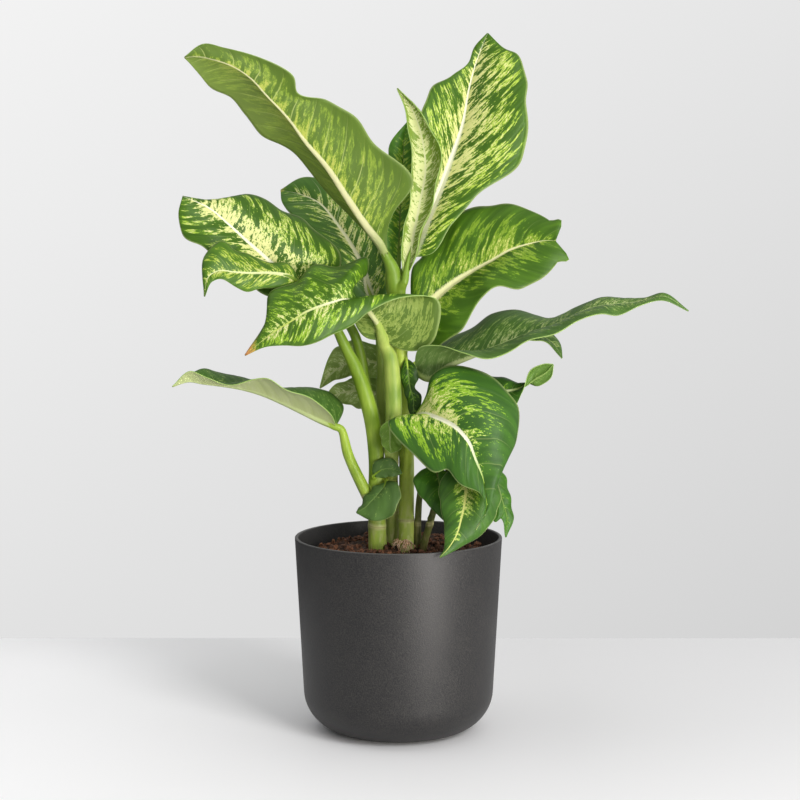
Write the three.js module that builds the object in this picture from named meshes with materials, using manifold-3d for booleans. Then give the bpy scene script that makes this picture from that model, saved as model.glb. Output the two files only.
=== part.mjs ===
// A dieffenbachia (dumb cane) in a round plastic planter: pot, soil, four leafy stems, leaf blades.
// Millimetres, +Z up. The origin is the centre of the pot's flat underside, +Y points to the back.
import * as THREE from "three";
import { mergeVertices } from "three/addons/utils/BufferGeometryUtils.js";
import Module from "manifold-3d";

const wasm = await Module();
wasm.setup();

// ---- Driving dimensions -------------------------------------------------------------------------

const potHeight = 168.5;
const potRimRadius = 90; // outer, at the rim: a common 18 cm planter
const potLowRadius = 82.7; // outer, where the rounded bottom corner starts
const potCornerRadius = 33;
const potWall = 3;
const lipBevel = 0.8;
const potSides = 40;
const cornerSteps = 5;

const soilEdgeHeight = 149; // where the soil meets the wall
const soilCrown = 5; // how much higher it lies at the middle
const soilHeap = 11; // height of the heap behind the stems
const heapPlace = 38; // behind the middle of the pot
const heapSpread = [50, 26]; // to the sides, and to the front and back
const soilRelief = 1.3; // height of the crumbly lumps
const soilRings = 5;
const outerRingInset = 0.2; // how far inside the wall the outermost ring lies, in ring widths

const clearance = 0.3; // gap between pieces that touch

const stemSides = 8;
const stemStep = 18; // along a stem, between its rings

const bladeThickness = 0.9;
const baseHalfWidth = 1.7; // half the blade's width where the stalk meets it
const tipHalfWidth = 0.5;
const rowSpacing = 14; // along the blade, between its cross-sections
const ribFlank = 0.6; // half the thickened midrib's width, as a share of the stalk's thickness there
const ribSwell = 0.8; // how far the midrib stands out underneath, as a share of the same
const ribLimit = 0.45; // the most of a narrow blade's half width that the midrib takes up
const edgeWaves = 3.4; // ripples along one edge
const leftEdgeShift = 0.3; // how far the left edge's ripples run ahead of the right edge's, in waves
const endShare = 0.03; // this near its ends, as a share of its length, a blade keeps one cross direction

const colours = {
  pot: "#3a393d",
  soil: "#4a2c1e",
  stem: "#9dbb55",
  youngLeaf: "#dfe6a0",
  blade: "#4c8a34",
  darkBlade: "#2f6b2a",
  paleBlade: "#7fa83f",
};

// ---- Helpers ------------------------------------------------------------------------------------

// A closed three.js geometry as a solid for cutting and joining.
function toSolid(geometry) {
  const bare = geometry.clone();
  bare.deleteAttribute("normal");
  bare.deleteAttribute("uv");
  const merged = mergeVertices(bare, 1e-4);
  return new wasm.Manifold(
    new wasm.Mesh({
      numProp: 3,
      vertProperties: new Float32Array(merged.attributes.position.array),
      triVerts: new Uint32Array(merged.index.array),
    }),
  );
}

// A solid as a three.js geometry again.
function toGeometry(solid) {
  const mesh = solid.getMesh();
  const geometry = new THREE.BufferGeometry();
  geometry.setAttribute("position", new THREE.BufferAttribute(mesh.vertProperties, mesh.numProp));
  geometry.setIndex(new THREE.BufferAttribute(mesh.triVerts, 1));
  return geometry;
}

// Points and the triangles between them as a geometry.
function indexedGeometry(points, faces) {
  const geometry = new THREE.BufferGeometry();
  const flat = points.flatMap((p) => [p.x, p.y, p.z]);
  geometry.setAttribute("position", new THREE.Float32BufferAttribute(flat, 3));
  geometry.setIndex(faces);
  return geometry;
}

// A named piece with a material of its own.
function mesh(name, geometry, colour, roughness) {
  geometry.computeVertexNormals();
  const material = new THREE.MeshStandardMaterial({ color: colour, roughness, metalness: 0 });
  const piece = new THREE.Mesh(geometry, material);
  piece.name = name;
  return piece;
}

const mix = THREE.MathUtils.lerp;

// ---- Pot ----------------------------------------------------------------------------------------

// Outer radius of the pot at a height above its flat underside.
function potRadius(height) {
  const taper = (potRimRadius - potLowRadius) / (potHeight - potCornerRadius);
  if (height >= potCornerRadius) return potLowRadius + taper * (height - potCornerRadius);
  const drop = potCornerRadius - height;
  return potLowRadius - potCornerRadius + Math.sqrt(potCornerRadius ** 2 - drop ** 2);
}

// The rounded bottom corner, from the flat underside up to the straight wall, moved in by an inset.
function cornerProfile(inset) {
  const radius = potCornerRadius - inset;
  const centre = potLowRadius - potCornerRadius;
  const points = [];
  for (let i = 0; i <= cornerSteps; i++) {
    const angle = (i / cornerSteps) * (Math.PI / 2);
    const reach = centre + radius * Math.sin(angle);
    points.push(new THREE.Vector2(reach, potCornerRadius - radius * Math.cos(angle)));
  }
  return points;
}

// LatheGeometry turns about Y, so the profile is turned upright afterwards.
function turned(profile, sides) {
  return new THREE.LatheGeometry(profile, sides).rotateX(Math.PI / 2);
}

function buildPot() {
  const inner = potRimRadius - potWall;
  const lip = [
    new THREE.Vector2(potRimRadius, potHeight - lipBevel),
    new THREE.Vector2(potRimRadius - lipBevel, potHeight),
    new THREE.Vector2(inner + lipBevel, potHeight),
    new THREE.Vector2(inner, potHeight - lipBevel),
  ];
  const profile = [
    new THREE.Vector2(0, 0),
    ...cornerProfile(0),
    ...lip,
    ...cornerProfile(potWall).reverse(),
    new THREE.Vector2(0, potWall),
  ];
  return toGeometry(toSolid(turned(profile, potSides)));
}

// ---- Stems and stalks ---------------------------------------------------------------------------

// A tapered round stem along a smooth curve: each point is [x, y, z, radius]. Grown by a clearance, it
// is the hole that the stem stands in.
function stemSolid(points, grow = 0) {
  const sides = stemSides;
  const places = points.map(([x, y, z]) => new THREE.Vector3(x, y, z));
  const route = new THREE.CatmullRomCurve3(places, false, "centripetal");
  const rings = Math.max(3, Math.round(route.getLength() / stemStep));
  const frames = route.computeFrenetFrames(rings, false);
  const vertices = [];
  const faces = [];
  for (let i = 0; i <= rings; i++) {
    const u = i / rings;
    const centre = route.getPointAt(u);
    const place = route.getUtoTmapping(u, null) * (points.length - 1);
    const at = Math.min(Math.floor(place), points.length - 2);
    const radius = mix(points[at][3], points[at + 1][3], place - at) + grow;
    if (i === 0) centre.addScaledVector(frames.tangents[0], -grow);
    for (let k = 0; k < sides; k++) {
      const angle = (k / sides) * 2 * Math.PI;
      const vertex = centre.clone();
      vertex.addScaledVector(frames.normals[i], radius * Math.cos(angle));
      vertex.addScaledVector(frames.binormals[i], radius * Math.sin(angle));
      vertices.push(vertex);
    }
  }
  for (let i = 0; i < rings; i++) {
    for (let k = 0; k < sides; k++) {
      const a = i * sides + k;
      const b = i * sides + ((k + 1) % sides);
      faces.push(a, b, b + sides, a, b + sides, a + sides);
    }
  }
  const last = rings * sides;
  for (let k = 1; k < sides - 1; k++) {
    faces.push(0, k + 1, k, last, last + k, last + k + 1);
  }
  return toSolid(indexedGeometry(vertices, faces));
}

// Stems, each from its buried end upwards, with the leaf stalks that grow out of it. Points are
// [x, y, z, radius], and "end" is the stalk's radius at its blade, which it reaches along the midrib
// from "lead" before it.
const stems = {
  stem_left: [
    {
      blade: "leaf_left_lower", end: 2.6,
      route: [
        [-18, 0, 103, 8], [-18, 0, 154, 8.2], [-19, 0, 200, 7.4], [-19, -1, 235, 6.9],
        [-22, -2, 266, 7], [-27, -3, 287, 6.8], [-36, -4, 313, 6], [-45, -6, 332, 4.8],
        [-56, -13, 355, 3.8], [-69, -20, 372, 3.2],
      ],
    },
    {
      blade: "leaf_left_upper", end: 2.6, lead: 5,
      route: [
        [-22, 4, 261, 6], [-29, 12, 300, 5], [-33, 14, 325, 4.8], [-40, 11, 347, 4.2],
        [-55, 5, 366, 3.4],
      ],
    },
    {
      blade: "leaf_left_long", end: 2.6, lead: 5,
      route: [
        [-19, -2, 188, 5], [-30, -6, 211, 4.2], [-43, -9, 240, 3.6],
      ],
    },
    { blade: "leaf_low_rounded", end: 1.5, lead: 3, route: [[-13, -4, 218, 2.4]] },
    { blade: "leaf_low_shield", end: 1.3, lead: 2, route: [[-19, -4, 220, 2.6]] },
  ],
  stem_middle: [
    {
      blade: "leaf_centre_front", end: 3.9,
      route: [
        [-5, 14, 100, 6.3], [-5, 13, 152, 6.5], [-5, 10, 199, 6.2], [-6, 4, 217, 5.6],
        [-6, -3, 234, 6], [-5, -7, 253, 6.7], [-4, -9, 279, 7.2], [-5, -10, 305, 7],
        [-7, -12, 324, 6.4],
      ],
    },
    {
      blade: "leaf_left_back", end: 2.6, lead: 5,
      route: [
        [-5, 4, 226, 4.6], [-10, 13, 251, 4.6], [-15, 18, 286, 4.4], [-15, 20, 320, 4],
        [-17, 22, 345, 3.4],
      ],
    },
    {
      blade: "leaf_back_hanging", end: 2.2,
      route: [
        [-6, 6, 239, 4], [-6, 16, 264, 3], [-5, 30, 289, 2.8],
      ],
    },
    { blade: "leaf_back_small", end: 2, lead: 5, route: [[-6, 10, 251, 3], [-5, 21, 270, 2.6]] },
    {
      blade: "leaf_behind_left", end: 2.6,
      route: [
        [-6, 10, 251, 3.4], [-3, 22, 294, 3], [-3, 25, 320, 2.8],
      ],
    },
    { blade: "leaf_bract", end: 1.4, lead: 1.5, route: [[-5, -12, 274, 2.4]] },
  ],
  stem_right: [
    {
      blade: "leaf_top_left", end: 4.2, lead: 3,
      route: [
        [7, -3, 104, 6.4], [7, -3, 155, 6.6], [7, 2, 200, 6.6], [7, 6, 234, 6.6],
        [6, 6, 254, 6.2], [4, 4, 278, 5.6], [4, 2, 304, 5], [2, 1, 329, 5.6], [-1, 0, 352, 7.2],
        [-2, 0, 373, 7.6], [-4, -1, 389, 7.4], [-5, -2.5, 398, 6.4], [-7, -4.5, 404, 5.4],
      ],
    },
    { blade: "leaf_top_right", end: 3.2, lead: 8, route: [[-3, 1, 373, 6], [4, 4, 394, 4]] },
    { blade: "leaf_new_rolled", end: 3.4, lead: 5, route: [[0, -2, 373, 6], [2, -4, 385, 5]] },
    { blade: "leaf_top_back", end: 2.4, lead: 5, route: [[-4, 5, 373, 4.6], [-2, 9, 392, 3.4]] },
    { blade: "leaf_right_middle", end: 3, lead: 6, route: [[1, 2, 337, 4.6], [6, 7, 351, 3.6]] },
    { blade: "leaf_right_long", end: 2.6, lead: 4, route: [[3, 3, 290, 4], [6, 3, 311, 3]] },
    {
      blade: "leaf_right_under", end: 2,
      route: [
        [3, 4, 300, 3.4], [11, 14, 314, 2.8], [27, 22, 322, 2.4],
      ],
    },
    {
      blade: "leaf_front_right", end: 3, lead: 5,
      route: [
        [7, 3, 219, 4.6], [9, -6, 243, 4], [10, -16, 261, 3.4],
      ],
    },
    { blade: "leaf_right_twisted", end: 2.2, route: [[7, 6, 243, 4], [16, 7, 264, 3]] },
    { blade: "leaf_behind_right", end: 2.6, route: [[3, 5, 304, 4], [5, 16, 328, 3.2]] },
    { blade: "leaf_behind_low", end: 2.4, lead: 5, route: [[7, 5, 210, 4.4], [9, 12, 225, 3.2]] },
    { blade: "leaf_inner_dark", end: 1.5, lead: 3, route: [[4, 1, 318, 3]] },
  ],
  stem_shoot: [
    {
      blade: "leaf_over_rim", end: 2.2, lead: 4,
      route: [
        [21, -3, 113, 3.4], [21, -4, 155, 3.4], [27, -9, 180, 3], [33, -13, 202, 2.8],
        [40, -17, 222, 2.6], [45, -27, 235, 2.4],
      ],
    },
    {
      blade: "leaf_low_dark", end: 1.9, lead: 3,
      route: [
        [18, 2, 112, 3.2], [17, 2, 154, 3.2], [17, 0, 183, 3], [19, -5, 208, 2.7],
        [25, -13, 228, 2.4],
      ],
    },
    {
      blade: "leaf_low_right", end: 1.8, lead: 5,
      route: [
        [27, -11, 184, 2.8], [36, -12, 202, 2.6], [50, -18, 220, 2.3], [64, -24, 235, 2.1],
      ],
    },
  ],
};

// Leaves: each station is a cross-section of the blade, [midrib, left edge, right edge], seen from
// above with the tip ahead; the first and last are the blade's base and its tip.
const leaves = [
  {
    name: "leaf_top_left", rib: 3.6, colour: "paleBlade",
    stations: [
      [[-10, -7, 410]],
      [[-15, -12, 420], [-11, -8, 425], [-21, -4, 425]],
      [[-27, -24, 436], [-6, -16, 446], [-36, 0, 440]],
      [[-42, -38, 458], [11, -22, 473], [-54, -10, 460]],
      [[-59, -54, 484], [-21, -42, 505], [-78, -26, 488]],
      [[-75, -68, 503], [-40, -56, 527], [-96, -40, 503]],
      [[-90, -80, 523], [-59, -68, 537], [-114, -52, 514]],
      [[-106, -90, 540], [-81, -78, 542], [-125, -64, 527]],
      [[-117, -98, 552], [-86, -88, 556], [-135, -74, 539]],
      [[-131, -104, 561], [-110, -97, 568], [-149, -84, 546]],
      [[-147, -109, 566], [-137, -105, 575], [-157, -98, 555]],
      [[-159, -111, 568], [-155, -110, 577], [-164, -108, 563]],
      [[-168, -112, 567]],
    ],
  },
  {
    name: "leaf_top_right", rib: 3.2, colour: "paleBlade",
    stations: [
      [[11, 6, 411]],
      [[15, 9, 420], [8, 5, 425], [26, 2, 413]],
      [[23, 15, 438], [12, 8, 455], [44, 4, 438]],
      [[35, 26, 466], [16, 14, 489], [66, 12, 462]],
      [[46, 38, 496], [19, 22, 524], [106, 26, 494]],
      [[56, 48, 525], [27, 36, 553], [111, 36, 534]],
      [[62, 58, 557], [48, 52, 569], [111, 50, 566]],
      [[69, 64, 582], [63, 62, 582], [104, 58, 588]],
      [[74, 65, 595], [68, 65, 595], [92, 62, 594]],
      [[79, 66, 607]],
    ],
  },
  {
    name: "leaf_new_rolled", rib: 1.6, arch: -0.3, colour: "youngLeaf", small: true,
    stations: [
      [[6, -6, 394]],
      [[8, -3, 406], [4, -6, 411], [13, -8, 412]],
      [[13, -1, 429], [6, -8, 431], [18, -10, 433]],
      [[18, 2, 455], [10, -8, 454], [28, -10, 458]],
      [[23, 5, 483], [13, -6, 482], [35, -8, 492]],
      [[20, 6, 512], [10, -3, 511], [29, -5, 514]],
      [[13, 4, 533], [7, 0, 533], [18, -3, 532]],
      [[-1, 0, 553]],
    ],
  },
  {
    name: "leaf_top_back", rib: 2, colour: "darkBlade", small: true,
    stations: [
      [[0, 14, 406]],
      [[0, 18, 416], [-8, 14, 416], [8, 22, 420]],
      [[1, 26, 438], [-13, 20, 437], [16, 30, 440]],
      [[2, 36, 468], [-14, 28, 468], [22, 40, 468]],
      [[4, 42, 495], [-9, 36, 494], [22, 46, 497]],
      [[5, 46, 514], [-5, 42, 512], [16, 48, 514]],
      [[8, 48, 528]],
    ],
  },
  {
    name: "leaf_left_back", rib: 2.6, colour: "darkBlade",
    stations: [
      [[-19, 24, 366]],
      [[-25, 27, 378], [-37, 24, 376], [-7, 28, 379]],
      [[-31, 34, 399], [-49, 26, 404], [2, 34, 414]],
      [[-43, 42, 422], [-62, 32, 422], [-1, 46, 447]],
      [[-56, 50, 441], [-80, 40, 435], [-19, 58, 469]],
      [[-70, 58, 457], [-93, 50, 447], [-55, 66, 475]],
      [[-87, 64, 465], [-103, 60, 458], [-85, 68, 480]],
      [[-105, 66, 469]],
    ],
  },
  {
    name: "leaf_left_upper", rib: 2.8, colour: "paleBlade",
    stations: [
      [[-87, -4, 384]],
      [[-95, -8, 393], [-96, -13, 375], [-68, 6, 388]],
      [[-110, -12, 407], [-117, -26, 383], [-49, 10, 407]],
      [[-128, -16, 423], [-142, -34, 406], [-78, 14, 437]],
      [[-145, -20, 439], [-162, -36, 418], [-106, 10, 453]],
      [[-159, -23, 451], [-180, -34, 430], [-131, 2, 463]],
      [[-171, -26, 457], [-184, -32, 447], [-158, -8, 462]],
      [[-181, -28, 461]],
    ],
  },
  {
    name: "leaf_left_lower", rib: 2.2,
    stations: [
      [[-84, -24, 388]],
      [[-92, -30, 394], [-93, -32, 386], [-91, -20, 401]],
      [[-106, -38, 397], [-111, -42, 386], [-107, -26, 405]],
      [[-123, -44, 397], [-127, -48, 383], [-124, -30, 410]],
      [[-137, -50, 398], [-140, -54, 390], [-136, -36, 416]],
      [[-149, -54, 399], [-149, -57, 393], [-150, -42, 422]],
      [[-156, -57, 395], [-154, -58, 391], [-160, -50, 411]],
      [[-160, -58, 378]],
    ],
  },
  {
    name: "leaf_centre_front", rib: 2.8,
    stations: [
      [[-13, -14, 340]],
      [[-17, -22, 353], [11, -18, 330], [-28, -18, 343]],
      [[-24, -32, 364], [32, -18, 345], [-36, -22, 356]],
      [[-31, -40, 371], [31, -24, 374], [-39, -26, 373]],
      [[-39, -45, 374], [4, -36, 376], [-40, -20, 386]],
      [[-47, -49, 375], [-23, -50, 366], [-27, -10, 394]],
      [[-55, -53, 373], [-37, -57, 357], [-26, -8, 409]],
      [[-65, -57, 370], [-51, -61, 349], [-50, -14, 401]],
      [[-77, -60, 365], [-64, -64, 343], [-72, -22, 404]],
      [[-88, -63, 358], [-79, -66, 338], [-85, -36, 388]],
      [[-101, -65, 350], [-95, -68, 339], [-107, -46, 380]],
      [[-113, -67, 341], [-110, -69, 337], [-109, -56, 358]],
      [[-126, -69, 330]],
    ],
  },
  {
    name: "leaf_right_middle", rib: 3,
    stations: [
      [[13, 10, 359]],
      [[22, 10, 366], [12, 14, 393], [25, 4, 336]],
      [[35, 10, 377], [22, 18, 410], [38, -4, 338]],
      [[50, 9, 389], [36, 22, 428], [54, -10, 350]],
      [[65, 8, 398], [49, 24, 446], [69, -16, 376]],
      [[81, 5, 407], [68, 22, 452], [85, -18, 385]],
      [[96, 2, 416], [89, 18, 455], [104, -20, 385]],
      [[111, -1, 421], [110, 12, 451], [122, -18, 393]],
      [[125, -5, 424], [129, 2, 441], [135, -14, 406]],
      [[133, -7, 424], [138, -4, 433], [141, -10, 416]],
      [[137, -8, 424]],
    ],
  },
  {
    name: "leaf_right_long", rib: 2.6,
    stations: [
      [[15, -2, 313]],
      [[26, -8, 306], [27, 24, 329], [17, -22, 332]],
      [[42, -13, 317], [46, 22, 341], [34, -34, 336]],
      [[62, -18, 326], [66, 16, 349], [54, -46, 332]],
      [[79, -22, 333], [82, 12, 360], [74, -52, 327]],
      [[95, -26, 340], [100, 6, 364], [92, -54, 331]],
      [[112, -29, 347], [118, -2, 361], [109, -56, 342]],
      [[132, -34, 354], [135, -10, 358], [130, -58, 349]],
      [[151, -39, 364], [158, -18, 369], [149, -58, 358]],
      [[169, -43, 370], [173, -26, 377], [167, -59, 363]],
      [[187, -47, 372], [191, -34, 376], [182, -58, 363]],
      [[203, -50, 374], [206, -42, 376], [199, -57, 371]],
      [[219, -53, 378], [220, -50, 380], [217, -56, 375]],
      [[240, -56, 366]],
    ],
  },
  {
    name: "leaf_right_under", rib: 1.6, small: true,
    stations: [
      [[55, 26, 327]],
      [[66, 26, 332], [69, 38, 339], [63, 14, 328]],
      [[85, 24, 339], [91, 38, 348], [83, 8, 333]],
      [[105, 20, 342], [111, 32, 350], [103, 6, 339]],
      [[123, 14, 342], [129, 24, 345], [119, 4, 339]],
      [[135, 8, 334], [140, 14, 336], [131, 4, 334]],
      [[141, 2, 323]],
    ],
  },
  {
    name: "leaf_front_right", rib: 3, colour: "darkBlade",
    stations: [
      [[11, -26, 273]],
      [[22, -34, 277], [22, -26, 291], [-8, -40, 273]],
      [[35, -44, 275], [29, -30, 310], [7, -54, 253]],
      [[48, -54, 269], [53, -30, 319], [29, -66, 235]],
      [[58, -62, 258], [83, -32, 304], [42, -72, 236]],
      [[64, -68, 243], [99, -38, 285], [53, -78, 223]],
      [[69, -74, 230], [99, -48, 260], [67, -82, 219]],
      [[71, -80, 218], [90, -60, 243], [71, -84, 212]],
      [[72, -85, 206], [81, -72, 225], [69, -87, 203]],
      [[69, -89, 198], [74, -84, 208], [67, -90, 196]],
      [[63, -92, 189]],
    ],
  },
  {
    name: "leaf_over_rim", rib: 2.2, colour: "darkBlade",
    stations: [
      [[47, -42, 236]],
      [[52, -50, 229], [66, -44, 230], [41, -46, 229]],
      [[56, -58, 219], [81, -50, 221], [35, -50, 219]],
      [[55, -66, 207], [84, -58, 210], [36, -58, 207]],
      [[52, -73, 195], [80, -64, 197], [38, -68, 193]],
      [[48, -80, 183], [68, -72, 182], [39, -78, 181]],
      [[42, -86, 174], [52, -81, 174], [38, -85, 172]],
      [[34, -91, 166]],
    ],
  },
  {
    name: "leaf_low_dark", rib: 1.8, colour: "darkBlade", small: true,
    stations: [
      [[31, -22, 232]],
      [[33, -26, 226], [40, -26, 227], [22, -23, 230]],
      [[35, -32, 217], [45, -30, 217], [14, -28, 221]],
      [[39, -38, 206], [48, -37, 204], [21, -36, 207]],
      [[42, -44, 195], [49, -45, 193], [33, -43, 195]],
      [[47, -52, 181]],
    ],
  },
  {
    name: "leaf_right_twisted", rib: 1.8, arch: 0.28,
    stations: [
      [[35, 2, 280]],
      [[48, 2, 285], [51, 12, 297], [49, -8, 271]],
      [[68, 0, 291], [70, 12, 304], [69, -12, 271]],
      [[87, -4, 294], [89, 8, 306], [90, -14, 275]],
      [[100, -8, 296], [104, 0, 300], [102, -14, 287]],
      [[108, -12, 300], [112, -7, 302], [107, -16, 296]],
      [[118, -15, 307], [121, -12, 301], [113, -17, 314]],
      [[126, -16, 312], [130, -15, 308], [124, -17, 319]],
      [[132, -16, 319]],
    ],
  },
  {
    name: "leaf_low_right", rib: 1.6, colour: "darkBlade", small: true,
    stations: [
      [[74, -30, 237]],
      [[79, -34, 229], [87, -30, 227], [72, -36, 224]],
      [[84, -40, 216], [92, -36, 214], [76, -44, 208]],
      [[88, -45, 204], [94, -42, 204], [81, -50, 189]],
      [[91, -49, 193], [96, -47, 192], [87, -51, 192]],
      [[90, -52, 176]],
    ],
  },
  {
    name: "leaf_left_long", rib: 2.2, colour: "paleBlade",
    stations: [
      [[-54, -12, 265]],
      [[-64, -14, 269], [-56, -22, 275], [-48, 10, 276]],
      [[-82, -18, 278], [-69, -40, 289], [-57, 22, 290]],
      [[-100, -22, 287], [-88, -50, 299], [-76, 20, 295]],
      [[-116, -25, 294], [-106, -52, 308], [-100, 14, 296]],
      [[-133, -28, 299], [-122, -50, 308], [-126, 8, 302]],
      [[-150, -31, 302], [-143, -46, 305], [-141, 0, 308]],
      [[-165, -34, 304], [-162, -44, 310], [-157, -10, 313]],
      [[-176, -37, 306], [-175, -41, 315], [-168, -22, 315]],
      [[-190, -40, 302]],
    ],
  },
  {
    name: "leaf_back_hanging", rib: 1.6, small: true,
    stations: [
      [[-6, 40, 312]],
      [[-13, 42, 315], [-13, 38, 325], [-15, 46, 306]],
      [[-28, 45, 318], [-29, 38, 334], [-30, 52, 302]],
      [[-42, 48, 317], [-44, 42, 334], [-42, 54, 304]],
      [[-55, 50, 310], [-58, 46, 326], [-52, 54, 302]],
      [[-64, 51, 302], [-65, 49, 311], [-60, 53, 299]],
      [[-70, 51, 293]],
    ],
  },
  {
    name: "leaf_back_small", rib: 1.5, small: true,
    stations: [
      [[-8, 26, 287]],
      [[-15, 29, 290], [-15, 27, 299], [-17, 33, 277]],
      [[-29, 31, 292], [-31, 26, 304], [-31, 36, 277]],
      [[-43, 33, 292], [-45, 30, 301], [-44, 37, 280]],
      [[-55, 34, 289], [-57, 32, 296], [-55, 36, 283]],
      [[-66, 34, 284]],
    ],
  },
  {
    name: "leaf_low_rounded", rib: 1.4, colour: "darkBlade", small: true,
    stations: [
      [[-11, -11, 217]],
      [[-12, -16, 214], [-3, -18, 218], [-16, -13, 215]],
      [[-17, -18, 208], [1, -24, 209], [-22, -13, 211]],
      [[-23, -20, 202], [-6, -26, 191], [-28, -13, 204]],
      [[-28, -21, 197], [-20, -25, 186], [-32, -15, 197]],
      [[-36, -21, 192]],
    ],
  },
  {
    name: "leaf_low_shield", rib: 1.2, colour: "darkBlade", small: true,
    stations: [
      [[-21, -10, 223]],
      [[-16, -11, 227], [-20, -10, 233], [-14, -11, 222]],
      [[-10, -12, 229], [-11, -11, 237], [-9, -12, 223]],
      [[-3, -12, 228], [-3, -12, 235], [-3, -13, 223]],
      [[3, -13, 225]],
    ],
  },
  {
    name: "leaf_bract", rib: 1.2, colour: "paleBlade", small: true,
    stations: [
      [[-6, -19, 271]],
      [[-7, -22, 265], [-14, -21, 265], [-2, -21, 262]],
      [[-7, -24, 258], [-14, -22, 257], [1, -22, 254]],
      [[-7, -25, 250], [-12, -24, 249], [1, -24, 247]],
      [[-6, -26, 244]],
    ],
  },
  {
    name: "leaf_inner_dark", rib: 1.2, colour: "darkBlade", small: true,
    stations: [
      [[7, -5, 322]],
      [[8, -9, 316], [13, -9, 317], [4, -8, 315]],
      [[9, -11, 307], [16, -11, 307], [3, -9, 305]],
      [[10, -12, 299], [13, -12, 299], [6, -10, 297]],
      [[13, -13, 289], [19, -13, 291], [8, -11, 287]],
      [[13, -14, 281], [18, -14, 281], [10, -13, 278]],
      [[13, -15, 272]],
    ],
  },
  {
    name: "leaf_behind_left", rib: 2.2,
    stations: [
      [[-10, 34, 339]],
      [[-19, 52, 356], [-38, 44, 353], [1, 60, 357]],
      [[-35, 78, 378], [-65, 62, 380], [-7, 96, 379]],
      [[-52, 104, 398], [-81, 86, 400], [-23, 122, 399]],
      [[-72, 128, 410], [-91, 114, 410], [-50, 142, 412]],
      [[-91, 146, 412], [-100, 138, 409], [-82, 154, 412]],
      [[-105, 158, 404]],
    ],
  },
  {
    name: "leaf_behind_right", rib: 2.2,
    stations: [
      [[11, 28, 348]],
      [[19, 46, 368], [22, 62, 377], [31, 34, 367]],
      [[33, 72, 391], [30, 96, 399], [50, 50, 393]],
      [[52, 98, 409], [47, 122, 419], [71, 76, 409]],
      [[73, 122, 419], [66, 140, 429], [90, 102, 418]],
      [[94, 140, 425], [89, 148, 429], [103, 130, 423]],
      [[110, 152, 421]],
    ],
  },
  {
    name: "leaf_behind_low", rib: 1.8,
    stations: [
      [[11, 20, 241]],
      [[20, 36, 252], [4, 46, 251], [36, 28, 253]],
      [[35, 62, 260], [13, 76, 259], [56, 52, 261]],
      [[52, 88, 261], [32, 102, 260], [73, 76, 260]],
      [[67, 108, 255], [57, 116, 254], [82, 100, 254]],
      [[83, 124, 242]],
    ],
  },
];

// ---- Leaf blades --------------------------------------------------------------------------------

// Smooth value between stations: a cubic through points at the given knots, with a round start.
function glide(knots, points, at) {
  const last = points.length - 1;
  let i = 0;
  while (i < last - 1 && at > knots[i + 1]) i++;
  const slope = (k) => points[k + 1].clone().sub(points[k]).divideScalar(knots[k + 1] - knots[k]);
  const tangent = (k) => {
    if (k === last) return slope(last - 1);
    if (k === 0) return slope(0).multiplyScalar(2).sub(tangent(1));
    const before = knots[k] - knots[k - 1];
    const after = knots[k + 1] - knots[k];
    const weighed = slope(k - 1).multiplyScalar(after).add(slope(k).multiplyScalar(before));
    return weighed.divideScalar(before + after);
  };
  const span = knots[i + 1] - knots[i];
  const t = (at - knots[i]) / span;
  const value = points[i].clone().multiplyScalar((1 + 2 * t) * (1 - t) ** 2);
  value.addScaledVector(tangent(i), span * t * (1 - t) ** 2);
  value.addScaledVector(points[i + 1], t * t * (3 - 2 * t));
  return value.addScaledVector(tangent(i + 1), span * t * t * (t - 1));
}

// The blade's middle surface as rows of points from the left edge over the midrib to the right edge.
// Between midrib and edge it arches up, and the edge ripples.
function bladeRows({ stations, rib, arch = 0.1, ripple = 1.5, small = false }) {
  const sideSteps = small ? [1] : [0.5, 1];
  const phase = 0.21 * stations.length; // no two sizes of blade ripple alike
  const ribs = stations.map((s) => new THREE.Vector3(...s[0]));
  const lefts = stations.map((s) => new THREE.Vector3(...(s[1] ?? s[0])));
  const rights = stations.map((s) => new THREE.Vector3(...(s[2] ?? s[0])));
  const knots = [0];
  for (let i = 1; i < ribs.length; i++) knots.push(knots[i - 1] + ribs[i].distanceTo(ribs[i - 1]));
  const total = knots.at(-1);
  const places = [0];
  for (let i = 1; i < knots.length; i++) {
    const count = Math.max(1, Math.round((knots[i] - knots[i - 1]) / rowSpacing));
    for (let k = 1; k <= count; k++) places.push(mix(knots[i - 1], knots[i], k / count));
  }

  const grid = [];
  for (const at of places) {
    const s = at / total;
    const centre = glide(knots, ribs, at);
    const ahead = glide(knots, ribs, Math.min(at + 1, total));
    const behind = glide(knots, ribs, Math.max(at - 1, 0));
    const along = ahead.sub(behind).normalize();
    const inward = THREE.MathUtils.clamp(at, endShare * total, (1 - endShare) * total);
    const across = glide(knots, rights, inward).sub(glide(knots, lefts, inward));
    across.addScaledVector(along, -across.dot(along)).normalize();
    const halfWidth = mix(baseHalfWidth, tipHalfWidth, s);
    const ribSize = mix(rib, tipHalfWidth, s);
    const row = [];
    for (const side of [-1, 1]) {
      const edge = glide(knots, side < 0 ? lefts : rights, at).addScaledVector(across, side * halfWidth);
      const reach = edge.clone().sub(centre);
      const width = reach.length();
      const up = reach.clone().cross(along).multiplyScalar(side).normalize();
      const ribPart = Math.min(ribLimit, (ribSize * ribFlank) / width);
      const turns = edgeWaves * s + phase + (side < 0 ? leftEdgeShift : 0);
      const ripples = ripple * Math.sin(2 * Math.PI * turns) * Math.sin(Math.PI * s);
      const half = [ribPart, ...sideSteps.map((t) => mix(ribPart, 1, t))].map((t) => {
        const point = centre.clone().addScaledVector(reach, t);
        return point.addScaledVector(up, arch * width * 4 * t * (1 - t) + ripples * t * t);
      });
      row.push(...(side < 0 ? half.reverse().concat(centre) : half));
    }
    grid.push({ row, ribDepth: ribSize * ribSwell });
  }
  return grid;
}

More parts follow.
